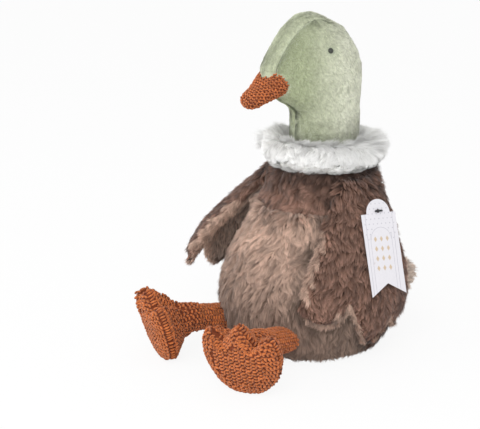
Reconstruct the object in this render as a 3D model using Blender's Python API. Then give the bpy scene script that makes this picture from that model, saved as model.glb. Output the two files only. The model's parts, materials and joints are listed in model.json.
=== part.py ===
# Plush duck, sitting on its flat base with both legs out in front.
# It faces -Y and its left side is +X. The origin is the middle of the base, on the floor.
import math

import bmesh
import bpy
from mathutils import Matrix, Vector

# Fits that every seam and seat shares.
SEAM_GAP = 0.0003
CLOTH = 0.0018
SEWN_CLEARANCE = 0.0017
# Panels that curve across a seam also part by this share of their thickness.
SEAM_TURN_SHARE = 0.30
# A wing's root is sewn down, and it stands off this share of the way to its hem.
WING_SEWN_SHARE = 0.25

# Body: a pear that leans back towards the neck.
BODY_HEIGHT = 0.176
BODY_HALF_WIDTH = 0.079
BELLY_REACH = 0.088
BACK_REACH = 0.079
NECK_SETBACK = 0.015
NECK_EASE = 0.005
SHOULDER_WIDTH = 0.007
SHOULDER_DROP = 0.007
BIB_DROP = 0.039
SIDE_SEAM_BEHIND = 0.004
PELLET_HEIGHT = 0.042
# Height, half width, belly reach, back reach and setback, each a share of its size above.
BODY_ROW_SHARES = (
    (0.000, 0.62, 0.57, 0.62, 0.00),
    (0.025, 0.75, 0.71, 0.75, 0.00),
    (0.075, 0.87, 0.85, 0.87, 0.00),
    (0.175, 0.97, 0.96, 0.96, 0.04),
    (0.310, 1.00, 1.00, 1.00, 0.12),
    (0.440, 0.96, 0.96, 0.97, 0.28),
    (0.560, 0.87, 0.86, 0.89, 0.48),
    (0.680, 0.77, 0.73, 0.79, 0.68),
    (0.790, 0.68, 0.62, 0.69, 0.85),
    (0.880, 0.61, 0.55, 0.61, 0.96),
)
BODY_SIDES = 28

# Head and neck, measured up from the middle of the neck joint.
NECK_RADIUS = 0.0325
NECK_LENGTH = 0.038
HEAD_TALL = 0.0915
HEAD_HALF_WIDTH = 0.034
SNOUT_REACH = 0.068
NAPE_REACH = 0.0328
GUSSET_HALF_WIDTH = 0.013
HEAD_TURN = math.radians(-12)
NOD_FORWARD = math.radians(15)
# Height, half width, snout reach and nape reach. A reach below zero lies on the other side.
HEAD_ROW_SHARES = (
    (0.053, 0.940, 0.523, 0.958),
    (0.117, 0.970, 0.650, 0.973),
    (0.202, 0.985, 0.846, 0.988),
    (0.298, 1.000, 0.960, 1.000),
    (0.404, 1.000, 1.000, 0.994),
    (0.489, 0.985, 0.985, 0.967),
    (0.606, 0.940, 0.900, 0.862),
    (0.723, 0.855, 0.783, 0.660),
    (0.851, 0.650, 0.660, 0.392),
    (0.936, 0.410, 0.530, -0.090),
    (0.972, 0.270, 0.470, -0.300),
)
CROWN_FORWARD = 0.020
EGG_SHARE = 0.5
HEAD_SIDES = 24
CROWN_EDGE_SHARE = 0.001

# Bill, eyes and collar.
BILL_LENGTH = 0.043
BILL_WIDTH = 0.031
BILL_THICKNESS = 0.018
BILL_HEIGHT = 0.071
BILL_ROOT = 0.049
BILL_DROOP = math.radians(29)
EYE_RADIUS = 0.0026
EYE_HEIGHT = 0.098
EYE_FORWARD = 0.015
COLLAR_ACROSS = 0.022
COLLAR_THICKNESS = 0.024
COLLAR_PLAY = 0.0008

# Wings, each a lining and an outer layer with three scallops at the hem.
WING_DROP = 0.010
WING_ROOT_FRONT = math.radians(62)
WING_ROOT_REAR = math.radians(118)
WING_HEM_FRONT = math.radians(40)
WING_HEM_REAR = math.radians(136)
WING_FLARE_SHARE = 0.7
LOBE_HEIGHTS = (0.045, 0.020, 0.026)
LOBE_NOTCH = 0.016
LINING_EDGE = 0.0020
LINING_PADDING = 0.0012
OUTER_EDGE = 0.0022
OUTER_PADDING = 0.0048
RIGHT_WING_SPLAY = math.radians(24)

# Legs and feet.
HIP_HEIGHT = 0.028
HIP_SPREAD = 0.040
LEG_LENGTH = 0.0405
LEG_RADIUS = 0.0115
LEG_ROOT_WIDTH = 0.016
LEG_ROOT_THICKNESS = 0.0040
LEG_ROOT_WALL_SHARE = 0.75
LEG_ROOT_ROUNDING = math.radians(70)
LEFT_LEG_SPLAY = math.radians(8)
RIGHT_LEG_SPLAY = math.radians(6)
ANKLE_RADIUS = 0.010
ANKLE_STANDOFF = 0.004
FOOT_WIDTH = 0.071
FOOT_HEIGHT = 0.067
FOOT_SOLE_DEPTH = 0.011
FOOT_INSTEP_DEPTH = 0.026
FOOT_EDGE = 0.0030
FOOT_ANKLE_HEIGHT = 0.027
FOOT_TOE_OUT = math.radians(23)
FOOT_LEAN = math.radians(16)
HEEL_CLEARANCE = 0.0012
# Across the width and up the height: heel, outer edge, three toe tips and the webs between.
FOOT_OUTLINE_SHARES = (
    (0.00, 0.00), (0.19, 0.03), (0.35, 0.15), (0.46, 0.35), (0.50, 0.58),
    (0.47, 0.78), (0.40, 0.87), (0.30, 0.80), (0.21, 0.74), (0.12, 0.85),
    (0.01, 1.00), (-0.11, 0.87), (-0.21, 0.75), (-0.31, 0.81), (-0.42, 0.88),
    (-0.48, 0.74), (-0.48, 0.53), (-0.42, 0.33), (-0.31, 0.14), (-0.17, 0.03),
)
FOOT_MIDDLE_SHARE = 0.45

# Tail.
TAIL_LENGTH = 0.054
TAIL_WIDTH = 0.050
TAIL_THICKNESS = 0.034
TAIL_HEIGHT = 0.035
TAIL_RISE = math.radians(8)

# Hang tag and the plastic pin that holds it.
TAG_LENGTH = 0.088
TAG_WIDTH = 0.038
TAG_THICKNESS = 0.0005
TAG_DOME_SHARE = 0.68
TAG_SHOULDER = 0.013
TAG_NOTCH = 0.011
TAG_HOLE_DROP = 0.011
TAG_HOLE_RADIUS = 0.0018
TAG_STANDOFF = 0.009
TAG_PLACE_SHARES = (0.53, 0.20)
TAG_TURN = math.radians(80)
TAG_LEAN = math.radians(20)
TAG_TILT = math.radians(-3)
PIN_RADIUS = 0.0007
PIN_HEAD_RADIUS = 0.0009
PIN_HEAD_LENGTH = 0.0075


def clear_scene():
    for old in list(bpy.data.objects):
        bpy.data.objects.remove(old, do_unlink=True)


def material(name, colour, roughness, metallic=0.0):
    made = bpy.data.materials.new(name)
    made.use_nodes = True
    shader = made.node_tree.nodes["Principled BSDF"]
    shader.inputs["Base Color"].default_value = (*colour, 1.0)
    shader.inputs["Roughness"].default_value = roughness
    shader.inputs["Metallic"].default_value = metallic
    return made


def add_object(name, bm, cloth, place=None):
    """Links a closed mesh as a smooth-shaded object whose origin is at place."""
    bmesh.ops.recalc_face_normals(bm, faces=bm.faces)
    place = place or Vector((0, 0, 0))
    bmesh.ops.translate(bm, verts=bm.verts, vec=-place)
    mesh = bpy.data.meshes.new(name)
    bm.to_mesh(mesh)
    bm.free()
    mesh.shade_smooth()
    mesh.materials.append(cloth)
    made = bpy.data.objects.new(name, mesh)
    made.location = place
    bpy.context.scene.collection.objects.link(made)
    return made


def skin_rings(bm, rings, first_pole=None, last_pole=None):
    """Joins rings of points into one skin, closed by a fan at each pole that is given."""
    loops = [[bm.verts.new(point) for point in ring] for ring in rings]
    for low, high in zip(loops, loops[1:]):
        for i in range(len(low)):
            j = (i + 1) % len(low)
            bm.faces.new((low[i], low[j], high[j], high[i]))
    for pole, loop in ((first_pole, loops[0]), (last_pole, loops[-1])):
        if pole is not None:
            tip = bm.verts.new(pole)
            for i in range(len(loop)):
                bm.faces.new((loop[i], loop[(i + 1) % len(loop)], tip))
    return loops


def loft(rings, first_pole, last_pole):
    bm = bmesh.new()
    skin_rings(bm, rings, first_pole, last_pole)
    return bm


def cup(outer, outer_pole, inner, inner_pole):
    """A sleeve open at its first rings, with its outer and inner skins joined there."""
    bm = bmesh.new()
    outside = skin_rings(bm, outer, None, outer_pole)[0]
    inside = skin_rings(bm, inner, None, inner_pole)[0]
    for i in range(len(outside)):
        j = (i + 1) % len(outside)
        bm.faces.new((outside[i], outside[j], inside[j], inside[i]))
    return bm


def between(lower, upper):
    """A closed solid between two sheets of points that have the same rows and columns."""
    bm = bmesh.new()
    sheets = [[[bm.verts.new(p) for p in row] for row in sheet] for sheet in (lower, upper)]
    rows, columns = len(lower), len(lower[0])
    for sheet in sheets:
        for r in range(rows - 1):
            for c in range(columns - 1):
                corners = (sheet[r][c], sheet[r][c + 1], sheet[r + 1][c + 1], sheet[r + 1][c])
                bm.faces.new(corners)
    rim = [(0, c) for c in range(columns)]
    rim += [(r, columns - 1) for r in range(1, rows)]
    rim += [(rows - 1, c) for c in range(columns - 2, -1, -1)]
    rim += [(r, 0) for r in range(rows - 2, 0, -1)]
    below, above = sheets
    for (r, c), (s, d) in zip(rim, rim[1:] + rim[:1]):
        bm.faces.new((below[r][c], below[s][d], above[s][d], above[r][c]))
    return bm


def trim(bm, faces, point, normal):
    """Cuts these faces at a plane and removes what lies on the side of its normal."""
    geometry = list(faces) + list({e for f in faces for e in f.edges})
    geometry += list({v for f in faces for v in f.verts})
    bmesh.ops.bisect_plane(
        bm, geom=geometry, plane_co=point, plane_no=normal, dist=SEAM_GAP / 100, clear_outer=True
    )


def sew_panel(name, bm, cloth, place=None):
    """Thickens a trimmed skin inwards to the thickness of the cloth."""
    bmesh.ops.recalc_face_normals(bm, faces=bm.faces)
    middle = sum((v.co for v in bm.verts), Vector()) / len(bm.verts)
    outward = sum((f.normal.dot(f.calc_center_median() - middle) for f in bm.faces))
    if outward < 0:
        bmesh.ops.reverse_faces(bm, faces=bm.faces)
    place = place or Vector((0, 0, 0))
    bmesh.ops.translate(bm, verts=bm.verts, vec=-place)
    mesh = bpy.data.meshes.new(name)
    bm.to_mesh(mesh)
    bm.free()
    mesh.shade_smooth()
    mesh.materials.append(cloth)
    made = bpy.data.objects.new(name, mesh)
    made.location = place
    bpy.context.scene.collection.objects.link(made)
    wall = made.modifiers.new("cloth thickness", "SOLIDIFY")
    wall.thickness = CLOTH
    wall.offset = -1
    return made


def hinge(name, place, parent=None):
    """An empty on a joint axis, which carries the pieces that move about it."""
    empty = bpy.data.objects.new(name, None)
    bpy.context.scene.collection.objects.link(empty)
    empty.location = place
    if parent:
        bpy.context.view_layer.update()
        empty.parent = parent
        empty.matrix_parent_inverse = parent.matrix_world.inverted()
    return empty


def attach(made, parent):
    bpy.context.view_layer.update()
    made.parent = parent
    made.matrix_parent_inverse = parent.matrix_world.inverted()


def neck_opening():
    return NECK_RADIUS + NECK_EASE


def shoulder_radius():
    return neck_opening() + SHOULDER_WIDTH


# Body surface: rows of half widths and reaches up the height, joined by a smooth curve.
def body_rows():
    sizes = (BODY_HEIGHT, BODY_HALF_WIDTH, BELLY_REACH, BACK_REACH, NECK_SETBACK)
    rows = [[share * size for share, size in zip(row, sizes)] for row in BODY_ROW_SHARES]
    for height, radius in (
        (BODY_HEIGHT - SHOULDER_DROP, shoulder_radius()),
        (BODY_HEIGHT, neck_opening()),
    ):
        rows.append([height, radius, radius, radius, NECK_SETBACK])
    return rows


def row_at(height):
    """Half width, belly reach, back reach and setback of the body at a height."""
    rows = body_rows()
    last = len(rows) - 1
    i = max(k for k in range(last) if rows[k][0] <= height or k == 0)
    low, high = rows[i], rows[i + 1]
    span = high[0] - low[0]
    t = (height - low[0]) / span
    found = []
    for c in range(1, len(low)):
        before, after = rows[max(i - 1, 0)], rows[min(i + 2, last)]
        slope_low = (high[c] - before[c]) / (high[0] - before[0]) * span
        slope_high = (after[c] - low[c]) / (after[0] - low[0]) * span
        value = low[c] * (2 * t**3 - 3 * t**2 + 1) + high[c] * (3 * t**2 - 2 * t**3)
        value += slope_low * (t**3 - 2 * t**2 + t) + slope_high * (t**3 - t**2)
        found.append(value)
    return found


def body_point(height, angle, offset=0.0):
    """A point round the body. The angle is 0 at the belly and a quarter turn at its left."""
    half_width, belly, back, setback = row_at(height)
    reach = belly if math.cos(angle) > 0 else back
    x = (half_width + offset) * math.sin(angle)
    y = setback - (reach + offset) * math.cos(angle)
    return Vector((x, y, height))


def body_ring(height, offset=0.0, sides=BODY_SIDES):
    return [body_point(height, 2 * math.pi * i / sides, offset) for i in range(sides)]


def body_heights():
    """The heights of the body's rings: its rows, halfway between them, and between its fillings."""
    rows = [row[0] for row in body_rows()]
    halfway = [(a + b) / 2 for a, b in zip(rows, rows[1:-1]) if a > PELLET_HEIGHT]
    return sorted({*rows, *halfway, PELLET_HEIGHT})


def drawn_in(rings, depth):
    """Rings moved inwards, square to the skin that they span."""
    moved = []
    last = len(rings) - 1
    for r, ring in enumerate(rings):
        low, high = rings[max(r - 1, 0)], rings[min(r + 1, last)]
        inner = []
        for i, point in enumerate(ring):
            around = ring[(i + 1) % len(ring)] - ring[i - 1]
            outward = around.cross(high[i] - low[i]).normalized()
            inner.append(point - outward * depth)
        moved.append(inner)
    return moved


def body_cutter(offset):
    """The whole body as one closed solid, grown by a clearance, to cut roots that meet it."""
    rings = [body_ring(height, offset) for height in body_heights()]
    bm = loft(rings, Vector((0, 0, 0)), Vector((0, NECK_SETBACK, BODY_HEIGHT)))
    cutter = add_object("body_cutter", bm, CUTTER)
    cutter.hide_render = True
    cutter.display_type = "WIRE"
    return cutter


def cut_with(made, cutter):
    cut = made.modifiers.new("seat", "BOOLEAN")
    cut.operation = "DIFFERENCE"
    cut.object = cutter


def body_skin():
    bm = bmesh.new()
    skin_rings(bm, [body_ring(height) for height in body_heights()])
    return bm


def build_body():
    half = (SEAM_GAP + SEAM_TURN_SHARE * CLOTH) / 2
    front, back, left = Vector((0, -1, 0)), Vector((0, 1, 0)), Vector((1, 0, 0))
    up = Vector((0, 0, 1))
    side = Vector((0, SIDE_SEAM_BEHIND, 0))
    bib = Vector((0, 0, BODY_HEIGHT - BIB_DROP))
    for name, cloth, cuts in (
        ("belly_panel", BELLY_FUR, ((side - back * half, back), (bib - up * half, up))),
        ("chest_panel", BROWN_FUR, ((side - back * half, back), (bib + up * half, -up))),
        ("back_panel_left", BROWN_FUR, ((side + back * half, front), (left * half, -left))),
        ("back_panel_right", BROWN_FUR, ((side + back * half, front), (-left * half, left))),
    ):
        bm = body_skin()
        for point, normal in cuts:
            trim(bm, bm.faces[:], point, normal)
        sew_panel(name, bm, cloth)
    # Base disc, let into the ring of the panels' lower edges.
    inset = CLOTH + SEAM_GAP
    rim = body_ring(0, -inset)
    top = [p + up * CLOTH for p in rim]
    add_object("base_panel", loft([rim, top], Vector((0, 0, 0)), up * CLOTH), BELLY_FUR)
    # Stuffing, with a bowl for the neck at the top, over a bag of pellets.
    split = PELLET_HEIGHT + SEAM_GAP * 2
    lower = [h for h in body_heights() if h <= PELLET_HEIGHT]
    upper = [split] + [h for h in body_heights() if h > split]
    full = [body_ring(h) for h in lower]
    rings = drawn_in(full, inset + SEAM_GAP)
    bm = loft(rings, up * (inset + SEAM_GAP), up * PELLET_HEIGHT)
    add_object("pellet_bag", bm, PELLET_CLOTH)
    rings = drawn_in([body_ring(h) for h in upper], inset)
    steps = 5
    flat_sided = math.cos(math.pi / 4 / steps) * math.cos(math.pi / BODY_SIDES)
    bowl = NECK_RADIUS / flat_sided + SEAM_GAP
    rest = math.asin((neck_pivot().z - BODY_HEIGHT + inset) / bowl)
    for step in range(steps):
        angle = rest + (math.pi / 2 - rest) * step / steps
        place = neck_pivot() - up * bowl * math.sin(angle)
        rings.append(circle(place, bowl * math.cos(angle), BODY_SIDES))
    bm = loft(rings, up * split, neck_pivot() - up * bowl)
    add_object("body_stuffing", bm, STUFFING)


def circle(middle, radius, sides):
    turns = [2 * math.pi * i / sides for i in range(sides)]
    return [middle + Vector((math.sin(a), -math.cos(a), 0)) * radius for a in turns]


def neck_pivot():
    return Vector((0, NECK_SETBACK, collar_height()))


def collar_middle_radius():
    return NECK_RADIUS / math.cos(NOD_FORWARD) + COLLAR_PLAY + COLLAR_ACROSS / 2


def collar_height():
    """The height at which the collar ring just clears the shoulder."""
    highest = 0.0
    steps = 24
    for i in range(steps + 1):
        t = i / steps
        shoulder = BODY_HEIGHT - SHOULDER_DROP * t
        radius = neck_opening() + SHOULDER_WIDTH * t
        across = (radius - collar_middle_radius()) / (COLLAR_ACROSS / 2)
        if abs(across) < 1:
            hang = COLLAR_THICKNESS / 2 * math.sqrt(1 - across**2)
            highest = max(highest, shoulder + hang)
    return highest + SEAM_GAP


def build_collar(parent):
    sides, section = 28, 10
    bm = bmesh.new()
    middle = neck_pivot()
    rings = []
    for k in range(section):
        a = 2 * math.pi * k / section
        radius = collar_middle_radius() + COLLAR_ACROSS / 2 * math.cos(a)
        rise = Vector((0, 0, COLLAR_THICKNESS / 2 * math.sin(a)))
        rings.append(circle(middle + rise, radius, sides))
    skin_rings(bm, rings + rings[:1])
    bmesh.ops.remove_doubles(bm, verts=bm.verts, dist=SEAM_GAP / 100)
    attach(add_object("neck_collar", bm, COLLAR_FUR, middle), parent)


# Head surface, in its own frame: the neck joint's middle is the origin and it faces -Y.
def head_rows():
    rows = [
        [0, NECK_RADIUS, NECK_RADIUS, NECK_RADIUS],
        [NECK_LENGTH / 2, NECK_RADIUS, NECK_RADIUS, NECK_RADIUS],
        [NECK_LENGTH, NECK_RADIUS, NECK_RADIUS, NECK_RADIUS],
    ]
    sizes = (HEAD_TALL, HEAD_HALF_WIDTH, SNOUT_REACH, NAPE_REACH)
    for row in HEAD_ROW_SHARES:
        height, *rest = [share * size for share, size in zip(row, sizes)]
        rows.append([NECK_LENGTH + height, *rest])
    return rows


def head_ring(row, offset=0.0, sides=HEAD_SIDES):
    """An egg-shaped ring, narrower at the snout the more it is drawn out."""
    height, half_width, snout, nape = row
    length = (snout + nape) / 2
    middle = (nape - snout) / 2
    egg = EGG_SHARE * max(length / half_width - 1, 0)
    points = []
    for i in range(sides):
        a = 2 * math.pi * i / sides
        x = (half_width + offset) * math.sin(a) * (1 - egg * math.cos(a))
        y = middle - (length + offset) * math.cos(a)
        points.append(Vector((x, y, height)))
    return points


def crown(offset=0.0):
    return Vector((0, -CROWN_FORWARD, NECK_LENGTH + HEAD_TALL + offset))


def head_turn():
    return Matrix.Translation(neck_pivot()) @ Matrix.Rotation(HEAD_TURN, 4, "Z")


def head_skin():
    bm = bmesh.new()
    skin_rings(bm, [head_ring(row) for row in head_rows()], None, crown())
    return bm


def head_cutter(offset):
    rows = head_rows()
    rings = [head_ring(row, offset) for row in rows]
    bm = loft(rings, Vector((0, 0, -offset)), crown(offset))
    bmesh.ops.transform(bm, matrix=head_turn(), verts=bm.verts)
    cutter = add_object("head_cutter", bm, CUTTER)
    cutter.hide_render = True
    cutter.display_type = "WIRE"
    return cutter


def build_head(parent):
    half = (SEAM_GAP + SEAM_TURN_SHARE * CLOTH) / 2
    left, up = Vector((1, 0, 0)), Vector((0, 0, 1))
    width = GUSSET_HALF_WIDTH
    bill_level = up * BILL_HEIGHT
    # Gusset: the strip from the bill over the crown and down the nape.
    bm = head_skin()
    trim(bm, bm.faces[:], left * (width - half), left)
    trim(bm, bm.faces[:], left * (half - width), -left)
    front = [f for f in bm.faces if f.calc_center_median().y < 0]
    trim(bm, front, bill_level + up * half, -up)
    bmesh.ops.transform(bm, matrix=head_turn(), verts=bm.verts)
    attach(sew_panel("head_gusset", bm, GREEN_PLUSH, neck_pivot()), parent)
    # Side panels, which meet under the chin below the bill.
    for name, side in (("head_panel_left", left), ("head_panel_right", -left)):
        bm = head_skin()
        trim(bm, bm.faces[:], side * half, -side)
        front = [f for f in bm.faces if f.calc_center_median().y < 0]
        bmesh.ops.bisect_plane(
            bm,
            geom=front + list({e for f in front for e in f.edges}),
            plane_co=bill_level - up * half,
            plane_no=up,
            dist=SEAM_GAP / 100,
        )
        beside = [
            f
            for f in bm.faces
            if f.calc_center_median().y > 0 or f.calc_center_median().z > BILL_HEIGHT - half
        ]
        trim(bm, beside, side * (width + half), -side)
        bmesh.ops.transform(bm, matrix=head_turn(), verts=bm.verts)
        attach(sew_panel(name, bm, GREEN_PLUSH, neck_pivot()), parent)
    # Stuffing, whose lower end is a ball that turns in the bowl of the body's stuffing.
    inset = CLOTH + SEAM_GAP
    steps = 4
    rings = []
    for step in range(1, steps):
        a = math.pi / 2 * step / steps
        middle = Vector((0, 0, -NECK_RADIUS * math.cos(a)))
        rings.append(circle(middle, NECK_RADIUS * math.sin(a), HEAD_SIDES))
    base = Vector((0, 0, -SEAM_GAP))
    rings.append(circle(base, NECK_RADIUS, HEAD_SIDES))
    rings.append(circle(base, NECK_RADIUS - inset, HEAD_SIDES))
    skin = [head_ring(row) for row in head_rows()]
    skin.append([crown().lerp(point, CROWN_EDGE_SHARE) for point in skin[-1]])
    inner = drawn_in(skin, inset)
    rings += inner[1:-1]
    bm = loft(rings, Vector((0, 0, -NECK_RADIUS)), crown(-inset))
    bmesh.ops.transform(bm, matrix=head_turn(), verts=bm.verts)
    attach(add_object("head_stuffing", bm, STUFFING, neck_pivot()), parent)


def build_bill(parent, cutter):
    """A knitted sleeve with a rounded, flattened end, over its stuffing."""
    sides = 16
    along = Vector((0, -math.cos(BILL_DROOP), -math.sin(BILL_DROOP)))
    over = Vector((0, -math.sin(BILL_DROOP), math.cos(BILL_DROOP)))
    across = Vector((1, 0, 0))
    root = Vector((0, -BILL_ROOT, BILL_HEIGHT))
    # Distance past the face, width and thickness, as shares of the bill's sizes.
    station_shares = (
        (-0.36, 1.50, 1.34), (-0.04, 1.34, 1.24), (0.26, 1.04, 1.02), (0.58, 0.90, 0.94),
        (0.82, 0.78, 0.78), (0.955, 0.46, 0.46),
    )

    def rings(inset):
        made = []
        for distance, width, thickness in station_shares:
            middle = root + along * (distance * (BILL_LENGTH - inset))
            a_side = across * (width * BILL_WIDTH / 2 - inset)
            a_rise = over * (thickness * BILL_THICKNESS / 2 - inset)
            turns = [2 * math.pi * i / sides for i in range(sides)]
            made.append([middle + a_side * math.sin(t) + a_rise * math.cos(t) for t in turns])
        return made

    sleeve = CLOTH / 2
    bm = cup(rings(0), root + along * BILL_LENGTH, rings(CLOTH), root + along * (BILL_LENGTH - CLOTH))
    bmesh.ops.transform(bm, matrix=head_turn(), verts=bm.verts)
    cover = add_object("bill_cover", bm, RUST_KNIT, neck_pivot())
    cut_with(cover, cutter)
    attach(cover, parent)
    inset = CLOTH + SEAM_GAP
    base = rings(inset)
    tip = root + along * (BILL_LENGTH - inset - sleeve)
    bm = loft(base, sum(base[0], Vector()) / sides, tip)
    bmesh.ops.transform(bm, matrix=head_turn(), verts=bm.verts)
    core = add_object("bill_stuffing", bm, STUFFING, neck_pivot())
    cut_with(core, cutter)
    attach(core, parent)


def head_side(height, forward):
    """The half width of the head at a height and a distance in front of the neck."""
    rows = head_rows()
    upper = next(k for k, row in enumerate(rows) if row[0] >= height)
    low, high = rows[upper - 1], rows[upper]
    share = (height - low[0]) / (high[0] - low[0])
    row = [a + (b - a) * share for a, b in zip(low, high)]
    ring = head_ring(row, 0.0, HEAD_SIDES * 8)
    half = ring[: len(ring) // 2]
    return min(half, key=lambda p: abs(p.y + forward)).x


def build_eyes(parent, cutter):
    for name, side in (("eye_left", 1), ("eye_right", -1)):
        reach = head_side(EYE_HEIGHT, EYE_FORWARD)
        bm = bmesh.new()
        bmesh.ops.create_uvsphere(bm, u_segments=14, v_segments=8, radius=EYE_RADIUS)
        place = head_turn() @ Vector((side * reach, -EYE_FORWARD, EYE_HEIGHT))
        bmesh.ops.translate(bm, verts=bm.verts, vec=place)
        bead = add_object(name, bm, EYE_BEAD, place)
        cut_with(bead, cutter)
        attach(bead, parent)


def lobe_height(u):
    """Height of the wing's hem, which dips in a scallop under each lobe."""
    count = len(LOBE_HEIGHTS)
    k = min(int(u * count), count - 1)
    t = 2 * (u * count - k) - 1
    near = k + (1 if t > 0 else -1)
    beside = LOBE_HEIGHTS[min(max(near, 0), count - 1)]
    notch = max(LOBE_HEIGHTS[k], beside) + LOBE_NOTCH
    return LOBE_HEIGHTS[k] + (notch - LOBE_HEIGHTS[k]) * t * t


def wing_top():
    return BODY_HEIGHT - WING_DROP


def wing_angle(u, v):
    front = WING_ROOT_FRONT + (WING_HEM_FRONT - WING_ROOT_FRONT) * v**WING_FLARE_SHARE
    rear = WING_ROOT_REAR + (WING_HEM_REAR - WING_ROOT_REAR) * v
    return front + (rear - front) * u


def wing_fill(u, v):
    """How full the padding is: none at the edges and all of it in the middle."""
    return math.sqrt(max(math.sin(math.pi * u), 0) * max(math.sin(math.pi * v), 0))


def wing_point(side, u, v, offset, padding):
    """A point of the wing, from front to rear and from the shoulder to the hem."""
    height = wing_top() + (lobe_height(u) - wing_top()) * v
    clearance = SEAM_GAP + (SEWN_CLEARANCE - SEAM_GAP) * min(v / WING_SEWN_SHARE, 1)
    point = body_point(height, wing_angle(u, v), clearance + offset + padding * wing_fill(u, v))
    return Vector((side * point.x, point.y, point.z))


def wing_sheet(side, offset, padding):
    columns, rows = 18, 8
    shares = [c / columns for c in range(columns + 1)]
    return [[wing_point(side, u, r / rows, offset, padding) for u in shares] for r in range(rows + 1)]


def wing_hinge(side):
    point = body_point(wing_top(), math.pi / 2, SEAM_GAP)
    return Vector((side * point.x, point.y, point.z))


def build_wing(word, side, parent, splay):
    layers = (
        ("lining", TAUPE_FUR, 0.0, 0.0, LINING_EDGE, LINING_PADDING),
        ("outer", BROWN_FUR, LINING_EDGE + SEAM_GAP, LINING_PADDING, OUTER_EDGE, OUTER_PADDING),
    )
    place = wing_hinge(side)
    turn = Matrix.Translation(place) @ Matrix.Rotation(-side * splay, 4, "Y")
    turn = turn @ Matrix.Translation(-place)
    for layer, cloth, start, filled, edge, padding in layers:
        inner = wing_sheet(side, start, filled)
        outer = wing_sheet(side, start + edge, filled + padding)
        bm = between(inner, outer)
        bmesh.ops.transform(bm, matrix=turn, verts=bm.verts)
        attach(add_object(f"wing_{word}_{layer}", bm, cloth, place), parent)


def hip_angle():
    return math.asin(HIP_SPREAD / row_at(HIP_HEIGHT)[0])


def hip_place(side):
    point = body_point(HIP_HEIGHT, hip_angle(), SEAM_GAP + LEG_ROOT_THICKNESS / 2)
    return Vector((side * point.x, point.y, point.z))


def hip_axis(side):
    """The direction of the seam that joins the leg to the body, which follows its surface."""
    step = math.radians(2)
    near = body_point(HIP_HEIGHT, hip_angle() - step)
    far = body_point(HIP_HEIGHT, hip_angle() + step)
    along = (far - near).normalized()
    return Vector((along.x, side * along.y, 0))


def foot_turn(side):
    return Matrix.Rotation(side * FOOT_TOE_OUT, 3, "Z") @ Matrix.Rotation(FOOT_LEAN, 3, "X")


def ankle_in_foot():
    return Vector((0, FOOT_INSTEP_DEPTH + ANKLE_STANDOFF, FOOT_ANKLE_HEIGHT))


def ankle_place(side):
    """The ankle stands where the foot's heel just clears the floor."""
    rise = (foot_turn(side) @ ankle_in_foot()).z + HEEL_CLEARANCE
    hip = hip_place(side)
    climb = rise - hip.z
    level = math.sqrt(LEG_LENGTH**2 - climb**2)
    splay = LEFT_LEG_SPLAY if side > 0 else RIGHT_LEG_SPLAY
    ahead = Vector((side * math.sin(splay), -math.cos(splay), 0))
    return hip + ahead * level + Vector((0, 0, climb))


def build_leg(word, side, parent):
    """A stuffed knitted tube that narrows to its hip seam and ends in a ball at the ankle."""
    sides, steps = 16, 3
    turns = [2 * math.pi * i / sides for i in range(sides)]
    hip, ankle = hip_place(side), ankle_place(side)
    along = (ankle - hip).normalized()
    seam = hip_axis(side)
    square = along.cross(Vector((0, 0, 1))).normalized()
    if square.dot(seam) < 0:
        square = -square
    rise = square.cross(along).normalized()
    if rise.z < 0:
        rise = -rise
    # Distance as a share of the leg's length, then half width and half height as shares.
    station_shares = (
        (0.00, 0.00, 0.00), (0.12, 0.35, 0.34), (0.28, 0.75, 0.74), (0.48, 1.00, 1.00),
        (0.80, 1.00, 1.00),
    )

    inward = Vector((0, 0, 1)).cross(seam)
    if inward.dot(along) > 0:
        inward = -inward

    def rings(inset):
        # The root is rounded about the hip seam, so that it can turn against the body.
        edge = LEG_ROOT_THICKNESS / 2 * math.cos(LEG_ROOT_ROUNDING)
        thin = edge - min(inset, edge * LEG_ROOT_WALL_SHARE)
        root = hip + inward * LEG_ROOT_THICKNESS / 2 * math.sin(LEG_ROOT_ROUNDING)
        wide, tall = seam * (LEG_ROOT_WIDTH / 2 - inset), rise * thin
        made = [[root + wide * math.sin(t) + tall * math.cos(t) for t in turns]]
        for distance, widen, swell in station_shares:
            half_width = LEG_ROOT_WIDTH / 2 + (LEG_RADIUS - LEG_ROOT_WIDTH / 2) * widen - inset
            low = LEG_ROOT_THICKNESS / 2
            wall = min(inset, low * LEG_ROOT_WALL_SHARE + inset * swell)
            half_height = low + (LEG_RADIUS - low) * swell - wall
            across = seam.lerp(square, min(distance * 2, 1)).normalized()
            middle = hip + along * (distance * LEG_LENGTH)
            wide, tall = across * half_width, rise * half_height
            made.append([middle + wide * math.sin(t) + tall * math.cos(t) for t in turns])
        for step in range(steps):
            a = math.pi / 2 * step / steps
            middle = ankle + along * (ANKLE_RADIUS - inset) * math.sin(a)
            radius = (ANKLE_RADIUS - inset) * math.cos(a)
            wide, tall = square * radius, rise * radius
            made.append([middle + wide * math.sin(t) + tall * math.cos(t) for t in turns])
        return made, ankle + along * (ANKLE_RADIUS - inset)

    outer, outer_pole = rings(0)
    inner, inner_pole = rings(CLOTH)
    bm = cup(outer, outer_pole, inner, inner_pole)
    attach(add_object(f"leg_{word}_cover", bm, RUST_KNIT, hip), parent)
    core, core_pole = rings(CLOTH + SEAM_GAP)
    core = core[2:]
    bm = loft(core, sum(core[0], Vector()) / sides, core_pole)
    attach(add_object(f"leg_{word}_stuffing", bm, STUFFING, hip), parent)


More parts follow.
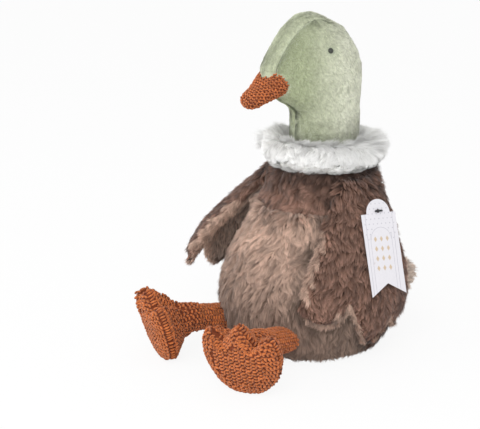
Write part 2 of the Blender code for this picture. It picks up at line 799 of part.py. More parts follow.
def foot_ring(share, depth, inset, corners_only=False):
    """One ring of the foot: its outline drawn in towards the middle, at a depth."""
    middle = Vector((0, 0, FOOT_HEIGHT * FOOT_MIDDLE_SHARE))
    count = len(FOOT_OUTLINE_SHARES)
    corners = [Vector((x * FOOT_WIDTH, 0, z * FOOT_HEIGHT)) for x, z in FOOT_OUTLINE_SHARES]
    ring = []
    for i in range(count):
        before, here, after = corners[i - 1], corners[i], corners[(i + 1) % count]
        beyond = corners[(i + 2) % count]
        midway = (here + after) * 9 / 16 - (before + beyond) / 16
        for corner in (here,) if corners_only else (here, midway):
            spoke = corner - middle
            spoke *= share * (1 - inset / spoke.length)
            ring.append(middle + spoke + Vector((0, depth, 0)))
    return ring


def foot_depth(share, inset, facing):
    """Depth of a face: the sole is a flat cushion and the instep rises to the ankle."""
    if facing < 0:
        fill = math.sqrt(max(1 - share**3, 0))
        return FOOT_EDGE + (FOOT_SOLE_DEPTH - FOOT_EDGE) * fill - inset
    return FOOT_EDGE + (FOOT_INSTEP_DEPTH - FOOT_EDGE) * (1 - share**1.5) - inset


def build_foot(word, side, parent, ankle_ball):
    """A webbed foot of two knitted faces, sewn at the edge, over its stuffing."""
    middle = Vector((0, 0, FOOT_HEIGHT * FOOT_MIDDLE_SHARE))
    origin = ankle_place(side) - foot_turn(side) @ ankle_in_foot()
    place = Matrix.Translation(origin) @ foot_turn(side).to_4x4()
    half = SEAM_GAP / 2
    ring_shares = (1.0, 0.86, 0.62, 0.32)
    for face, facing, cloth in (("sole", -1, RUST_KNIT), ("upper", 1, RUST_KNIT)):
        outer = [foot_ring(1.0, facing * half, 0)]
        outer += [foot_ring(s, facing * foot_depth(s, 0, facing), 0) for s in ring_shares]
        inner = [foot_ring(1.0, facing * half, CLOTH)]
        inner += [foot_ring(s, facing * foot_depth(s, CLOTH, facing), CLOTH) for s in ring_shares[1:]]
        tip = middle + Vector((0, facing * foot_depth(0, 0, facing), 0))
        inner_tip = middle + Vector((0, facing * foot_depth(0, CLOTH, facing), 0))
        bm = cup(outer, tip, inner, inner_tip)
        bmesh.ops.transform(bm, matrix=place, verts=bm.verts)
        made = add_object(f"foot_{word}_{face}", bm, cloth, ankle_place(side))
        if face == "upper":
            cut_with(made, ankle_ball)
        attach(made, parent)
    inset = CLOTH + SEAM_GAP
    core_shares = (0.4, 0.8)
    rings = [foot_ring(s, -foot_depth(s, inset, -1), inset * 2, True) for s in core_shares]
    rings.append(foot_ring(1.0, 0, inset * 2, True))
    rings += [foot_ring(s, foot_depth(s, inset, 1), inset * 2, True) for s in core_shares[::-1]]
    front = middle - Vector((0, foot_depth(0, inset, -1), 0))
    back = middle + Vector((0, foot_depth(0, inset, 1), 0))
    bm = loft(rings, front, back)
    bmesh.ops.transform(bm, matrix=place, verts=bm.verts)
    core = add_object(f"foot_{word}_stuffing", bm, STUFFING, ankle_place(side))
    cut_with(core, ankle_ball)
    attach(core, parent)


def ankle_cutter(word, side):
    """The ball at the leg's end, grown by the seam gap, which hollows its seat in the foot."""
    bm = bmesh.new()
    bmesh.ops.create_uvsphere(bm, u_segments=20, v_segments=12, radius=ANKLE_RADIUS + SEAM_GAP)
    bmesh.ops.translate(bm, verts=bm.verts, vec=ankle_place(side))
    cutter = add_object(f"ankle_cutter_{word}", bm, CUTTER)
    cutter.hide_render = True
    cutter.display_type = "WIRE"
    return cutter


def build_tail(cutter):
    """A short stuffed tail that narrows and flattens to its tip."""
    sides = 16
    along = Vector((0, math.cos(TAIL_RISE), math.sin(TAIL_RISE)))
    over = Vector((0, -math.sin(TAIL_RISE), math.cos(TAIL_RISE)))
    across = Vector((1, 0, 0))
    root = Vector((0, body_point(TAIL_HEIGHT, math.pi).y, TAIL_HEIGHT))
    station_shares = (
        (-0.20, 1.00, 1.00), (0.30, 0.96, 0.94), (0.62, 0.84, 0.82), (0.84, 0.64, 0.60),
        (0.96, 0.34, 0.32),
    )

    def rings(inset):
        made = []
        for distance, width, thickness in station_shares:
            middle = root + along * (distance * (TAIL_LENGTH - inset))
            wide = across * (width * TAIL_WIDTH / 2 - inset)
            thick = over * (thickness * TAIL_THICKNESS / 2 - inset)
            turns = [2 * math.pi * i / sides for i in range(sides)]
            made.append([middle + wide * math.sin(t) + thick * math.cos(t) for t in turns])
        return made

    tip = root + along * TAIL_LENGTH
    bm = cup(rings(0), tip, rings(CLOTH), tip - along * CLOTH)
    cover = add_object("tail_cover", bm, TAUPE_FUR)
    cut_with(cover, cutter)
    inset = CLOTH + SEAM_GAP
    base = rings(inset)
    bm = loft(base, sum(base[0], Vector()) / sides, tip - along * inset * 2)
    core = add_object("tail_stuffing", bm, STUFFING)
    cut_with(core, cutter)


def tag_frame():
    """The tag's frame at its hole: across, down its length and out of its face."""
    turned = Vector((math.sin(TAG_TURN), -math.cos(TAG_TURN), 0))
    out = turned * math.cos(TAG_LEAN) + Vector((0, 0, math.sin(TAG_LEAN)))
    across = Vector((0, 0, 1)).cross(out).normalized()
    down = across.cross(out).normalized()
    if down.z > 0:
        down = -down
    tilt = Matrix.Rotation(TAG_TILT, 3, out)
    across, down = tilt @ across, tilt @ down
    layers = LINING_EDGE + SEAM_GAP + OUTER_EDGE
    seat = wing_point(1, *TAG_PLACE_SHARES, layers, LINING_PADDING + OUTER_PADDING)
    hole = seat + out * TAG_STANDOFF
    return hole, across, down, out


def tag_outline():
    """Half the card from the top of its dome to the notch, mirrored to the other side."""
    half = TAG_WIDTH / 2
    dome = half * TAG_DOME_SHARE
    top = -TAG_HOLE_DROP
    points = []
    steps = 6
    for i in range(steps + 1):
        a = math.pi / 2 * i / steps
        points.append((dome * math.sin(a), top + dome * (1 - math.cos(a))))
    points.append((half, top + TAG_SHOULDER))
    points.append((half, top + TAG_LENGTH))
    points.append((0, top + TAG_LENGTH - TAG_NOTCH))
    mirrored = [(-x, y) for x, y in reversed(points[1:-1])]
    return points + mirrored


def build_tag(wing, swing):
    hole, across, down, out = tag_frame()
    bm = bmesh.new()
    face = [bm.verts.new(hole + across * x + down * y) for x, y in tag_outline()]
    sheet = bm.faces.new(face)
    grown = bmesh.ops.extrude_face_region(bm, geom=[sheet])
    moved = [v for v in grown["geom"] if isinstance(v, bmesh.types.BMVert)]
    bmesh.ops.translate(bm, verts=moved, vec=out * TAG_THICKNESS)
    card = add_object("hang_tag", bm, TAG_CARD, hole)
    card.data.set_sharp_from_angle(angle=math.radians(30))
    bm = bmesh.new()
    bmesh.ops.create_cone(
        bm, cap_ends=True, segments=16, radius1=TAG_HOLE_RADIUS, radius2=TAG_HOLE_RADIUS, depth=TAG_STANDOFF
    )
    facing = out.to_track_quat("Z", "Y").to_matrix().to_4x4()
    bmesh.ops.transform(bm, matrix=Matrix.Translation(hole) @ facing, verts=bm.verts)
    punch = add_object("tag_punch", bm, CUTTER)
    punch.hide_render = True
    punch.display_type = "WIRE"
    cut_with(card, punch)
    attach(card, swing)
    # Pin: a fine stem from the wing through the hole, with a small bar that holds the card on.
    foot = hole - out * (TAG_STANDOFF - SEAM_GAP)
    bar = hole + out * (TAG_THICKNESS + SEAM_GAP + PIN_HEAD_RADIUS)
    stem_length = (bar - foot).length
    bm = bmesh.new()
    bmesh.ops.create_cone(
        bm, cap_ends=True, segments=10, radius1=PIN_RADIUS, radius2=PIN_RADIUS, depth=stem_length
    )
    bmesh.ops.transform(bm, matrix=Matrix.Translation((foot + bar) / 2) @ facing, verts=bm.verts)
    stem = add_object("tag_fastener", bm, PIN_PLASTIC, hole)
    bm = bmesh.new()
    bmesh.ops.create_cone(
        bm,
        cap_ends=True,
        segments=10,
        radius1=PIN_HEAD_RADIUS,
        radius2=PIN_HEAD_RADIUS,
        depth=PIN_HEAD_LENGTH,
    )
    lying = across.to_track_quat("Z", "Y").to_matrix().to_4x4()
    bmesh.ops.transform(bm, matrix=Matrix.Translation(bar) @ lying, verts=bm.verts)
    head = add_object("fastener_bar", bm, PIN_PLASTIC, hole)
    head.hide_render = True
    head.display_type = "WIRE"
    join = stem.modifiers.new("bar", "BOOLEAN")
    join.operation = "UNION"
    join.object = head
    attach(stem, wing)


clear_scene()
CUTTER = material("cutter", (0.5, 0.5, 0.5), 0.9)
BELLY_FUR = material("taupe_belly_fur", (0.39, 0.27, 0.215), 0.95)
BROWN_FUR = material("dark_brown_fur", (0.115, 0.068, 0.05), 0.95)
TAUPE_FUR = material("taupe_lining_fur", (0.26, 0.17, 0.13), 0.95)
COLLAR_FUR = material("white_collar_fur", (0.78, 0.79, 0.75), 0.95)
GREEN_PLUSH = material("sage_green_plush", (0.5, 0.54, 0.41), 0.9)
RUST_KNIT = material("rust_knit", (0.36, 0.11, 0.038), 0.9)
STUFFING = material("polyester_stuffing", (0.85, 0.85, 0.84), 1.0)
PELLET_CLOTH = material("pellet_bag_cloth", (0.7, 0.68, 0.62), 0.85)
EYE_BEAD = material("dark_eye_bead", (0.02, 0.022, 0.02), 0.25)
TAG_CARD = material("white_tag_card", (0.85, 0.84, 0.86), 0.6)
PIN_PLASTIC = material("dark_pin_plastic", (0.05, 0.05, 0.05), 0.4)

build_body()
turning = hinge("neck_turn_axis", neck_pivot())
nodding = hinge("neck_nod_axis", neck_pivot(), turning)
build_collar(turning)
build_head(nodding)
face_cutter = head_cutter(SEAM_GAP)
build_bill(nodding, face_cutter)
build_eyes(nodding, face_cutter)
build_tail(body_cutter(SEAM_GAP))
for word, side, splay in (("left", 1, 0.0), ("right", -1, RIGHT_WING_SPLAY)):
    shoulder = hinge(f"wing_{word}_axis", wing_hinge(side))
    build_wing(word, side, shoulder, splay)
    if word == "left":
        swing = hinge("tag_swing_axis", tag_frame()[0], shoulder)
        build_tag(shoulder, swing)
    hip = hinge(f"hip_{word}_axis", hip_place(side))
    ankle = hinge(f"ankle_{word}_axis", ankle_place(side), hip)
    build_leg(word, side, hip)
    build_foot(word, side, ankle, ankle_cutter(word, side))
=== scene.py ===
import math

import bmesh
import bpy
import numpy as np
from mathutils import Matrix, Vector
from mathutils.bvhtree import BVHTree
from mathutils.kdtree import KDTree
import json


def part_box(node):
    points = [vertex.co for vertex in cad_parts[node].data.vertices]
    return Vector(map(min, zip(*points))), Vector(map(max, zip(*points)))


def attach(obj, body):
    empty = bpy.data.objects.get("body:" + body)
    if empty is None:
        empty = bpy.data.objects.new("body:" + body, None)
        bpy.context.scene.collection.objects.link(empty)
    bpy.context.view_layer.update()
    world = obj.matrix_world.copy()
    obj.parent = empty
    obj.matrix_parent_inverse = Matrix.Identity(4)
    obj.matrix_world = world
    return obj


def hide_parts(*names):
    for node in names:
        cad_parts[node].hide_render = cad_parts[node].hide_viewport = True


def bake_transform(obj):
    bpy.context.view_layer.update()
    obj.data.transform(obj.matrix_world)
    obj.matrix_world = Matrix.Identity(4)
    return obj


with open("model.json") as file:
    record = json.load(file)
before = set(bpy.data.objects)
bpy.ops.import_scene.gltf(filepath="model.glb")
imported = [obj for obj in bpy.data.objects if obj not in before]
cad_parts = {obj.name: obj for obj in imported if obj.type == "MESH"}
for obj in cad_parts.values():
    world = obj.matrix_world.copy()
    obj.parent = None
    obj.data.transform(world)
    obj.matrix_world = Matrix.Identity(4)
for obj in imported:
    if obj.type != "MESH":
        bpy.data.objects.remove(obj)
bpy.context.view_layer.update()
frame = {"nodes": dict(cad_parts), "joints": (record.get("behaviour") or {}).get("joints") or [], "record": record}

# Body
# A pear of four cut panels of long fur fabric, sewn wrong side out and turned over a bag of
# pellets and loose filling: a taupe belly, a dark bib and two dark back panels. The pile is
# brushed down, and its fibres cling together in wavy locks that part in dark lines.
joints = {joint["name"]: joint for joint in frame["joints"]}


def joint_place(name):
    return Vector(joints[name]["pos_m"])


def cloth_mesh(node):
    """The panel's own mesh, welded into one smooth skin."""
    mesh = frame["nodes"][node].data.copy()
    bm = bmesh.new()
    bm.from_mesh(mesh)
    bmesh.ops.remove_doubles(bm, verts=bm.verts, dist=0.00002)
    bmesh.ops.dissolve_degenerate(bm, edges=bm.edges, dist=0.00001)
    bm.to_mesh(mesh)
    bm.free()
    mesh.shade_smooth()
    mesh.materials.clear()
    return mesh


def add_piece(name, mesh, material, body=None):
    piece = bpy.data.objects.new(name, mesh)
    bpy.context.scene.collection.objects.link(piece)
    mesh.materials.append(material)
    if body:
        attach(piece, body)
    return piece


def sewn_cover(name, node, material, body):
    """The cloth of one panel, which stands for its CAD solid."""
    piece = add_piece(name, cloth_mesh(node), material, body)
    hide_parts(node)
    return piece


def skin_tree(*meshes):
    points, faces = [], []
    for mesh in meshes:
        start = len(points)
        points += [v.co.copy() for v in mesh.vertices]
        faces += [[start + i for i in p.vertices] for p in mesh.polygons]
    return BVHTree.FromPolygons(points, faces)


def right_side(mesh, wanted):
    """Corner points and normals of the faces that carry pile, chosen by centre and normal."""
    mesh.calc_loop_triangles()
    chosen = []
    for t in mesh.loop_triangles:
        centre = sum((mesh.vertices[i].co for i in t.vertices), Vector()) / 3
        if wanted(centre, t.normal):
            chosen.append(tuple(t.vertices))
    corners = np.array(chosen)
    points = np.array([v.co for v in mesh.vertices])
    normals = np.array([v.normal for v in mesh.vertices])
    return points[corners], normals[corners]


def facing_away(*nodes, least=0.3):
    """Chooses faces that look away from what lies inside them."""
    inside = skin_tree(*(frame["nodes"][node].data for node in nodes))

    def wanted(centre, normal):
        near = inside.find_nearest(centre)[0]
        return (centre - near).normalized().dot(normal) > least

    return wanted


def unit(vectors):
    return vectors / np.maximum(np.linalg.norm(vectors, axis=1, keepdims=True), 1e-9)


def swells(points, size, seed):
    """A smooth field between about -1 and 1, with swells of this size."""
    rng = np.random.default_rng(seed)
    ways = unit(rng.normal(size=(7, 3))) * rng.uniform(0.6, 1.4, (7, 1))
    phases = rng.uniform(0, 2 * math.pi, 7)
    return np.sin(points @ ways.T * (2 * math.pi / size) + phases).sum(axis=1) / math.sqrt(7)


def turned(vectors, axes, angles):
    """Each vector, square to its axis, turned about it."""
    return vectors * np.cos(angles)[:, None] + np.cross(axes, vectors) * np.sin(angles)[:, None]


def straight_down(points, normals):
    return np.tile((0.0, 0.0, -1.0), (len(points), 1))


def everywhere(value):
    return lambda points: np.full(len(points), float(value))


def tree_of_points(points):
    tree = KDTree(len(points))
    for i, point in enumerate(points):
        tree.insert(point, i)
    tree.balance()
    return tree


def lock_owners(roots, area, size, rng):
    """The lock that each strand belongs to, by its nearest middle strand."""
    middles = rng.choice(len(roots), min(max(int(area / size**2), 1), len(roots)), replace=False)
    tree = tree_of_points(roots[middles])
    return middles, np.array([tree.find(root)[1] for root in roots])


def grow_pile(
    name, skin, strands, length, lift, width, locks, body, material, seed,
    lay=straight_down, swirl=everywhere(0.5), swirl_size=0.03, curl=0.0012, levels=2, spread=0.13,
    long=everywhere(1), painted_shade_and_tint=everywhere(0), soft=0.4, floor_at=0.0004,
):
    """Strands of pile over a skin.

    lift is the angle off the cloth at the root and at the tip, in degrees. locks gives each
    size of lock and how far its strands cling to its middle.
    """
    rng = np.random.default_rng(seed)
    corners, corner_normals = skin
    edges = np.cross(corners[:, 1] - corners[:, 0], corners[:, 2] - corners[:, 0])
    areas = np.linalg.norm(edges, axis=1) / 2
    picks = rng.choice(len(corners), strands, p=areas / areas.sum())
    a, b = np.sqrt(rng.random(strands)), rng.random(strands)
    shares = np.stack([1 - a, a * (1 - b), a * b], axis=1)
    roots = (corners[picks] * shares[:, :, None]).sum(axis=1)
    normals = unit((corner_normals[picks] * shares[:, :, None]).sum(axis=1))
    groups = [lock_owners(roots, areas.sum(), size, rng) for size, _ in locks]
    middles, owner = groups[0]
    lock_turn = rng.normal(0, 0.2, len(middles))[owner]
    lock_phase = rng.uniform(0, 2 * math.pi, len(middles))[owner]
    lock_length = rng.uniform(0.8, 1.12, len(middles))[owner]
    small_tone = rng.random(len(groups[-1][0]))[groups[-1][1]]

    falls = lay(roots, normals)
    falls = unit(falls - normals * (falls * normals).sum(axis=1)[:, None])
    turn = swirl(roots) * swells(roots, swirl_size, seed + 1)
    falls = turned(falls, normals, turn + lock_turn + rng.normal(0, spread, strands))
    beside = np.cross(normals, falls)
    lengths = length * lock_length * rng.uniform(0.75, 1.1, strands) * long(roots)
    root_angle = math.radians(lift[0]) + rng.normal(0, spread, strands)
    tip_angle = math.radians(lift[1]) + rng.normal(0, spread, strands)
    line, ways = [roots], []
    for level in range(levels):
        share = (level + 0.5) / levels
        angle = root_angle + (tip_angle - root_angle) * share**0.8
        way = falls * np.cos(angle)[:, None] + normals * np.sin(angle)[:, None]
        ways.append(way)
        line.append(line[-1] + way * (lengths / levels)[:, None])
    for level in range(1, levels + 1):
        share = level / levels
        sway = curl * share * np.sin(5.6 * share + lock_phase)
        line[level] = line[level] + beside * sway[:, None]
    for (middles, owner), (_, cling) in zip(groups, locks):
        paths = [points[middles][owner] for points in line]
        for level in range(1, levels + 1):
            pull = cling * (level / levels) ** 1.3
            line[level] = line[level] + (paths[level] - line[level]) * pull
    for points in line:
        points[:, 2] = np.maximum(points[:, 2], floor_at)

    # Each strand is a thin leaf of two or three faces, rounded to the light like its lock.
    middles, owner = groups[0]
    lean = unit(roots - roots[middles][owner]) * 0.25
    twist = rng.normal(0, 0.25, strands)
    across = beside * np.cos(twist)[:, None] + normals * np.sin(twist)[:, None]
    per = 2 * levels + 1
    points = np.empty((strands, per, 3))
    facing = np.empty((strands, per, 3))
    shade = np.empty((strands, per, 4))
    for level in range(levels):
        half = across * width / 2 * (0.8, 1.0, 0.75)[level]
        points[:, 2 * level] = line[level] - half
        points[:, 2 * level + 1] = line[level] + half
        shade[:, 2 * level : 2 * level + 2, 0] = level / levels
    points[:, -1] = line[levels]
    shade[:, -1, 0] = 1
    shade[:, :, 1] = small_tone[:, None]
    shade[:, :, 2] = rng.random(strands)[:, None]
    # Fourth channel: painted shade that darkens creases, the eyes' dimples and the pile under the collar, beside
    # the wings and near the floor, or a tint that lightens the wings' pile towards the hem.
    shade[:, :, 3] = 1 - np.clip(painted_shade_and_tint(roots), -0.8, 0.9)[:, None]
    for level in range(levels + 1):
        own = np.cross(across, ways[min(level, levels - 1)])
        own = unit(own * np.sign((own * normals).sum(axis=1))[:, None])
        flat = np.clip(((own * normals).sum(axis=1) - 0.2) / 0.5, 0, 1)[:, None]
        mixed = unit((normals * soft + lean) * flat + own * (1 - soft * flat))
        facing[:, 2 * level : 2 * level + 2] = mixed[:, None]
    quads = [(2 * k, 2 * k + 1, 2 * k + 3, 2 * k + 2) for k in range(levels - 1)]
    pattern = [i for quad in quads for i in quad] + [per - 3, per - 2, per - 1]
    order = np.cross(line[levels] - line[levels - 1], across)
    flip = (order * normals).sum(axis=1) > 0
    loops = np.array(pattern)[None, :] + per * np.arange(strands)[:, None]
    backwards = [(q[3], q[2], q[1], q[0]) for q in quads]
    backwards = [i for quad in backwards for i in quad] + [per - 2, per - 3, per - 1]
    other = np.array(backwards)[None, :] + per * np.arange(strands)[:, None]
    loops = np.where(flip[:, None], other, loops)
    starts = np.arange(levels) * 4
    starts = starts[None, :] + len(pattern) * np.arange(strands)[:, None]
    mesh = bpy.data.meshes.new(name)
    mesh.vertices.add(strands * per)
    mesh.vertices.foreach_set("co", points.astype(np.float32).ravel())
    mesh.loops.add(loops.size)
    mesh.loops.foreach_set("vertex_index", loops.astype(np.int32).ravel())
    mesh.polygons.add(strands * levels)
    mesh.polygons.foreach_set("loop_start", starts.ravel().astype(np.int32))
    mesh.update(calc_edges=True)
    mesh.shade_smooth()
    mesh.normals_split_custom_set_from_vertices(facing.reshape(-1, 3).astype(np.float32))
    made = mesh.color_attributes.new("pile", "FLOAT_COLOR", "POINT")
    made.data.foreach_set("color", shade.astype(np.float32).ravel())
    return add_piece(name, mesh, material, body)


def new_material(name, roughness, sheen=0.0):
    material = bpy.data.materials.new(name)
    material.use_nodes = True
    shader = material.node_tree.nodes["Principled BSDF"]
    shader.inputs["Roughness"].default_value = roughness
    shader.inputs["Sheen Weight"].default_value = sheen
    shader.inputs["Specular IOR Level"].default_value = 0.2
    return material, material.node_tree.nodes, material.node_tree.links, shader


def set_or_link(links, socket, value):
    if isinstance(value, bpy.types.NodeSocket):
        links.new(value, socket)
    else:
        socket.default_value = value


def mixed(tree, kind, factor, a, b):
    """A colour mix in a node tree."""
    node = tree.nodes.new("ShaderNodeMix")
    node.data_type = "RGBA"
    node.blend_type = kind
    for value, socket in ((factor, node.inputs[0]), (a, node.inputs[6]), (b, node.inputs[7])):
        set_or_link(tree.links, socket, value)
    return node.outputs[2]


def sums(tree, operation, *values):
    """A sum or a comparison in a node tree."""
    node = tree.nodes.new("ShaderNodeMath")
    node.operation = operation
    for socket, value in zip(node.inputs, values):
        set_or_link(tree.links, socket, value)
    return node.outputs[0]


def ranged(tree, value, low, high, to_low, to_high):
    node = tree.nodes.new("ShaderNodeMapRange")
    node.interpolation_type = "SMOOTHSTEP"
    tree.links.new(value, node.inputs["Value"])
    given = (("From Min", low), ("From Max", high), ("To Min", to_low), ("To Max", to_high))
    for socket, number in given:
        node.inputs[socket].default_value = number
    return node.outputs["Result"]


def noise(tree, scale, detail=2.0):
    place = tree.nodes.new("ShaderNodeTexCoord")
    node = tree.nodes.new("ShaderNodeTexNoise")
    tree.links.new(place.outputs["Object"], node.inputs["Vector"])
    set_or_link(tree.links, node.inputs["Scale"], scale)
    node.inputs["Detail"].default_value = detail
    return node.outputs["Fac"]


def grey(tree, value):
    node = tree.nodes.new("ShaderNodeCombineColor")
    for socket in range(3):
        tree.links.new(value, node.inputs[socket])
    return node.outputs[0]


def pile_shade_group():
    """Dark at the root, partly as painted shade deep in the pile, full colour along the lock, pale at the tip, and
    darker with painted shade in creases.
    """
    group = bpy.data.node_groups.new("pile shade", "ShaderNodeTree")
    for socket in ("Root", "Lock", "Tip"):
        group.interface.new_socket(socket, in_out="INPUT", socket_type="NodeSocketColor")
    for socket in ("Patch Scale", "Patch Depth", "Lock Depth"):
        group.interface.new_socket(socket, in_out="INPUT", socket_type="NodeSocketFloat")
    group.interface.new_socket("Colour", in_out="OUTPUT", socket_type="NodeSocketColor")
    given, out = group.nodes.new("NodeGroupInput"), group.nodes.new("NodeGroupOutput")
    strand = group.nodes.new("ShaderNodeAttribute")
    strand.attribute_name = "pile"
    parts = group.nodes.new("ShaderNodeSeparateColor")
    group.links.new(strand.outputs["Color"], parts.inputs[0])
    along = parts.outputs["Red"]
    root, lock, tip = (given.outputs[word] for word in ("Root", "Lock", "Tip"))
    colour = mixed(group, "MIX", ranged(group, along, 0.0, 0.5, 0.0, 1.0), root, lock)
    colour = mixed(group, "MIX", ranged(group, along, 0.45, 1.0, 0.0, 1.0), colour, tip)
    patch = noise(group, given.outputs["Patch Scale"], 3.0)
    patch = sums(group, "MULTIPLY_ADD", patch, 1.0, -0.5)
    by_patch = sums(group, "MULTIPLY_ADD", patch, given.outputs["Patch Depth"], 1.0)
    own = sums(group, "MULTIPLY_ADD", parts.outputs["Green"], 1.0, -0.5)
    by_lock = sums(group, "MULTIPLY_ADD", own, given.outputs["Lock Depth"], 1.0)
    by_strand = sums(group, "MULTIPLY_ADD", parts.outputs["Blue"], 0.24, 0.88)
    # The last factor is the fourth channel: painted shade, or a lighter tint towards a wing's hem.
    for factor in (by_patch, by_lock, by_strand, strand.outputs["Alpha"]):
        colour = mixed(group, "MULTIPLY", 1.0, colour, grey(group, factor))
    group.links.new(colour, out.inputs["Colour"])
    return group


PILE_SHADE = pile_shade_group()


def pile_material(name, root, lock, tip, patch=(40, 0.5), lock_depth=0.5, sheen=0.2):
    material, nodes, links, shader = new_material(name, 0.85, sheen)
    group = nodes.new("ShaderNodeGroup")
    group.node_tree = PILE_SHADE
    for socket, colour in (("Root", root), ("Lock", lock), ("Tip", tip)):
        group.inputs[socket].default_value = (*colour, 1)
    group.inputs["Patch Scale"].default_value = patch[0]
    group.inputs["Patch Depth"].default_value = patch[1]
    group.inputs["Lock Depth"].default_value = lock_depth
    links.new(group.outputs["Colour"], shader.inputs["Base Color"])
    return material


def backing_material(name, dark, light, scale=900):
    """Knitted backing cloth, seen only where the pile parts, and given a darker colour than the pile, partly as
    painted shade in those gaps.
    """
    material, nodes, links, shader = new_material(name, 0.95)
    place = nodes.new("ShaderNodeTexCoord")
    loops = nodes.new("ShaderNodeTexVoronoi")
    loops.inputs["Scale"].default_value = scale
    links.new(place.outputs["Object"], loops.inputs["Vector"])
    colour = mixed(material.node_tree, "MIX", loops.outputs["Distance"], (*light, 1), (*dark, 1))
    links.new(colour, shader.inputs["Base Color"])
    bump = nodes.new("ShaderNodeBump")
    bump.inputs["Strength"].default_value = 0.4
    bump.inputs["Distance"].default_value = 0.0003
    bump.invert = True
    links.new(loops.outputs["Distance"], bump.inputs["Height"])
    links.new(bump.outputs["Normal"], shader.inputs["Normal"])
    return material


TAUPE_BACKING = backing_material("taupe backing", (0.12, 0.08, 0.062), (0.18, 0.125, 0.1))
BROWN_BACKING = backing_material("brown backing", (0.03, 0.019, 0.014), (0.05, 0.032, 0.024))
TAUPE_PILE = pile_material(
    "taupe pile", (0.17, 0.108, 0.082), (0.47, 0.32, 0.245), (0.57, 0.40, 0.315), (38, 0.5), 0.75
)
BROWN_PILE = pile_material(
    "brown pile", (0.028, 0.015, 0.011), (0.16, 0.085, 0.06), (0.28, 0.165, 0.125), (45, 0.9), 0.95
)
FUR_LENGTH = 0.0135
FUR_LIFT = (52, 6)
FIBRE_WIDTH = 0.00042
WAIST = 0.078
# The wings' tops, beside which the body's pile gets painted shade.
wing_trees = [skin_tree(frame["nodes"][f"wing_{side}_outer"].data) for side in ("left", "right")]
outside = facing_away("body_stuffing", "pellet_bag")


def swirled_at_top(points):
    """The belly's locks swirl below the bib and hang straight further down."""
    return 0.15 + 0.5 * np.clip((points[:, 2] - 0.06) / 0.06, 0, 1)


def painted_shade_near_collar_wings_floor(points):
    """Painted shade: the pile is darkened under the collar, beside the wings and near the floor."""
    shade = 0.6 * np.clip((points[:, 2] - 0.150) / 0.020, 0, 1)
    shade = np.maximum(shade, 0.5 * np.clip((0.105 - points[:, 2]) / 0.06, 0, 1))
    for tree in wing_trees:
        away = np.array([tree.find_nearest(point, 0.02)[3] or 0.02 for point in points])
        shade = np.maximum(shade, 0.75 * (1 - np.clip((away - 0.004) / 0.014, 0, 1)))
    return shade


def above_waist(centre, normal):
    return centre.z > WAIST and outside(centre, normal)


def below_waist(centre, normal):
    return centre.z <= WAIST and outside(centre, normal)


belly_halves = (("belly_upper", above_waist, 10), ("belly_lower", below_waist, 11))
taupe_fur = (TAUPE_BACKING, TAUPE_PILE, "taupe_belly_fur")
brown_fur = (BROWN_BACKING, BROWN_PILE, "dark_brown_fur")
# Name, panel, fur, strands, swirl with the size of its swells, curl, and each part with its seed.
body_panels = (
    ("belly", "belly_panel", taupe_fur, 52000, swirled_at_top, 0.026, 0.0022, belly_halves),
    (
        "bib", "chest_panel", brown_fur, 40000, everywhere(0.7), 0.022, 0.0012,
        (("bib", outside, 12),),
    ),
    (
        "left_back", "back_panel_left", brown_fur, 34000, everywhere(0.35), 0.04, 0.001,
        (("left_back", outside, 14),),
    ),
    (
        "right_back", "back_panel_right", brown_fur, 34000, everywhere(0.35), 0.04, 0.001,
        (("right_back", outside, 16),),
    ),
)
for word, node, (backing, pile, slot), strands, swirl, size, curl, parts in body_panels:
    cover = sewn_cover(word + "_cloth", node, backing, "torso")
    for part, wanted, seed in parts:
        grow_pile(
            part + "_pile", right_side(cover.data, wanted), strands, FUR_LENGTH, FUR_LIFT,
            FIBRE_WIDTH, ((0.006, 0.22), (0.0024, 0.5)), "torso", pile, seed, swirl=swirl,
            swirl_size=size, curl=curl, painted_shade_and_tint=painted_shade_near_collar_wings_floor,
        )
sewn_cover("base_cloth", "base_panel", TAUPE_BACKING, "torso")


# Tail
# A short stuffed bag of the lining fur, sewn in above the base, with its pile brushed back.
def back_and_down(points, normals):
    return np.tile((0.0, 1.0, -0.35), (len(points), 1))


TAIL_PILE = pile_material(
    "tail pile", (0.25, 0.19, 0.155), (0.62, 0.49, 0.41), (0.74, 0.62, 0.53), (40, 0.3), 0.5
)
tail = sewn_cover("tail_cloth", "tail_cover", TAUPE_BACKING, "torso")
grow_pile(
    "tail_pile", right_side(tail.data, facing_away("tail_stuffing")), 18000, 0.0140, (55, 20),
    FIBRE_WIDTH, ((0.005, 0.25), (0.0022, 0.6)), "torso", TAIL_PILE, 20,
    lay=back_and_down, swirl=everywhere(0.35),
)

# Wings
# Each wing is a padded dark layer over a lighter lining, sewn together round the scalloped hem
# and into the shoulder. The pile runs down the wing, and the lining's stands out past the hem.
# The lining's own taupe, made lighter than the fringe's as painted light that offsets the shade on the wing's
# underside.
LINING_PILE = pile_material(
    "lining pile", (0.18, 0.125, 0.098), (0.54, 0.39, 0.31), (0.66, 0.5, 0.41), (40, 0.4), 0.7
)


def rim_faces(mesh, deep=0.006):
    """Chooses the faces round the edge, behind which the cloth runs deep."""
    tree = skin_tree(mesh)

    def wanted(centre, normal):
        hit = tree.ray_cast(centre - normal * 0.0002, -normal)
        return hit[0] is None or hit[3] > deep

    return wanted


def shorter_at(points_of_rim, least, full):
    """Pile that is least long at the rim and full further in."""
    tree = tree_of_points(points_of_rim)

    def long(points):
        away = np.array([tree.find(point)[2] for point in points])
        return least + (1 - least) * np.clip(away / full, 0, 1)

    return long


def lighter_at(points_of_rim):
    """The dark pile turns to taupe towards the hem."""
    near = shorter_at(points_of_rim, 0.0, 0.018)

    def shade(points):
        return -0.8 * (1 - near(points)) ** 1.5

    return shade


def down_from(shoulder):
    """The pile is brushed from above the shoulder down the wing."""
    above = np.array(shoulder + Vector((0, 0, 0.06)))
    return lambda points, normals: unit(points - above)


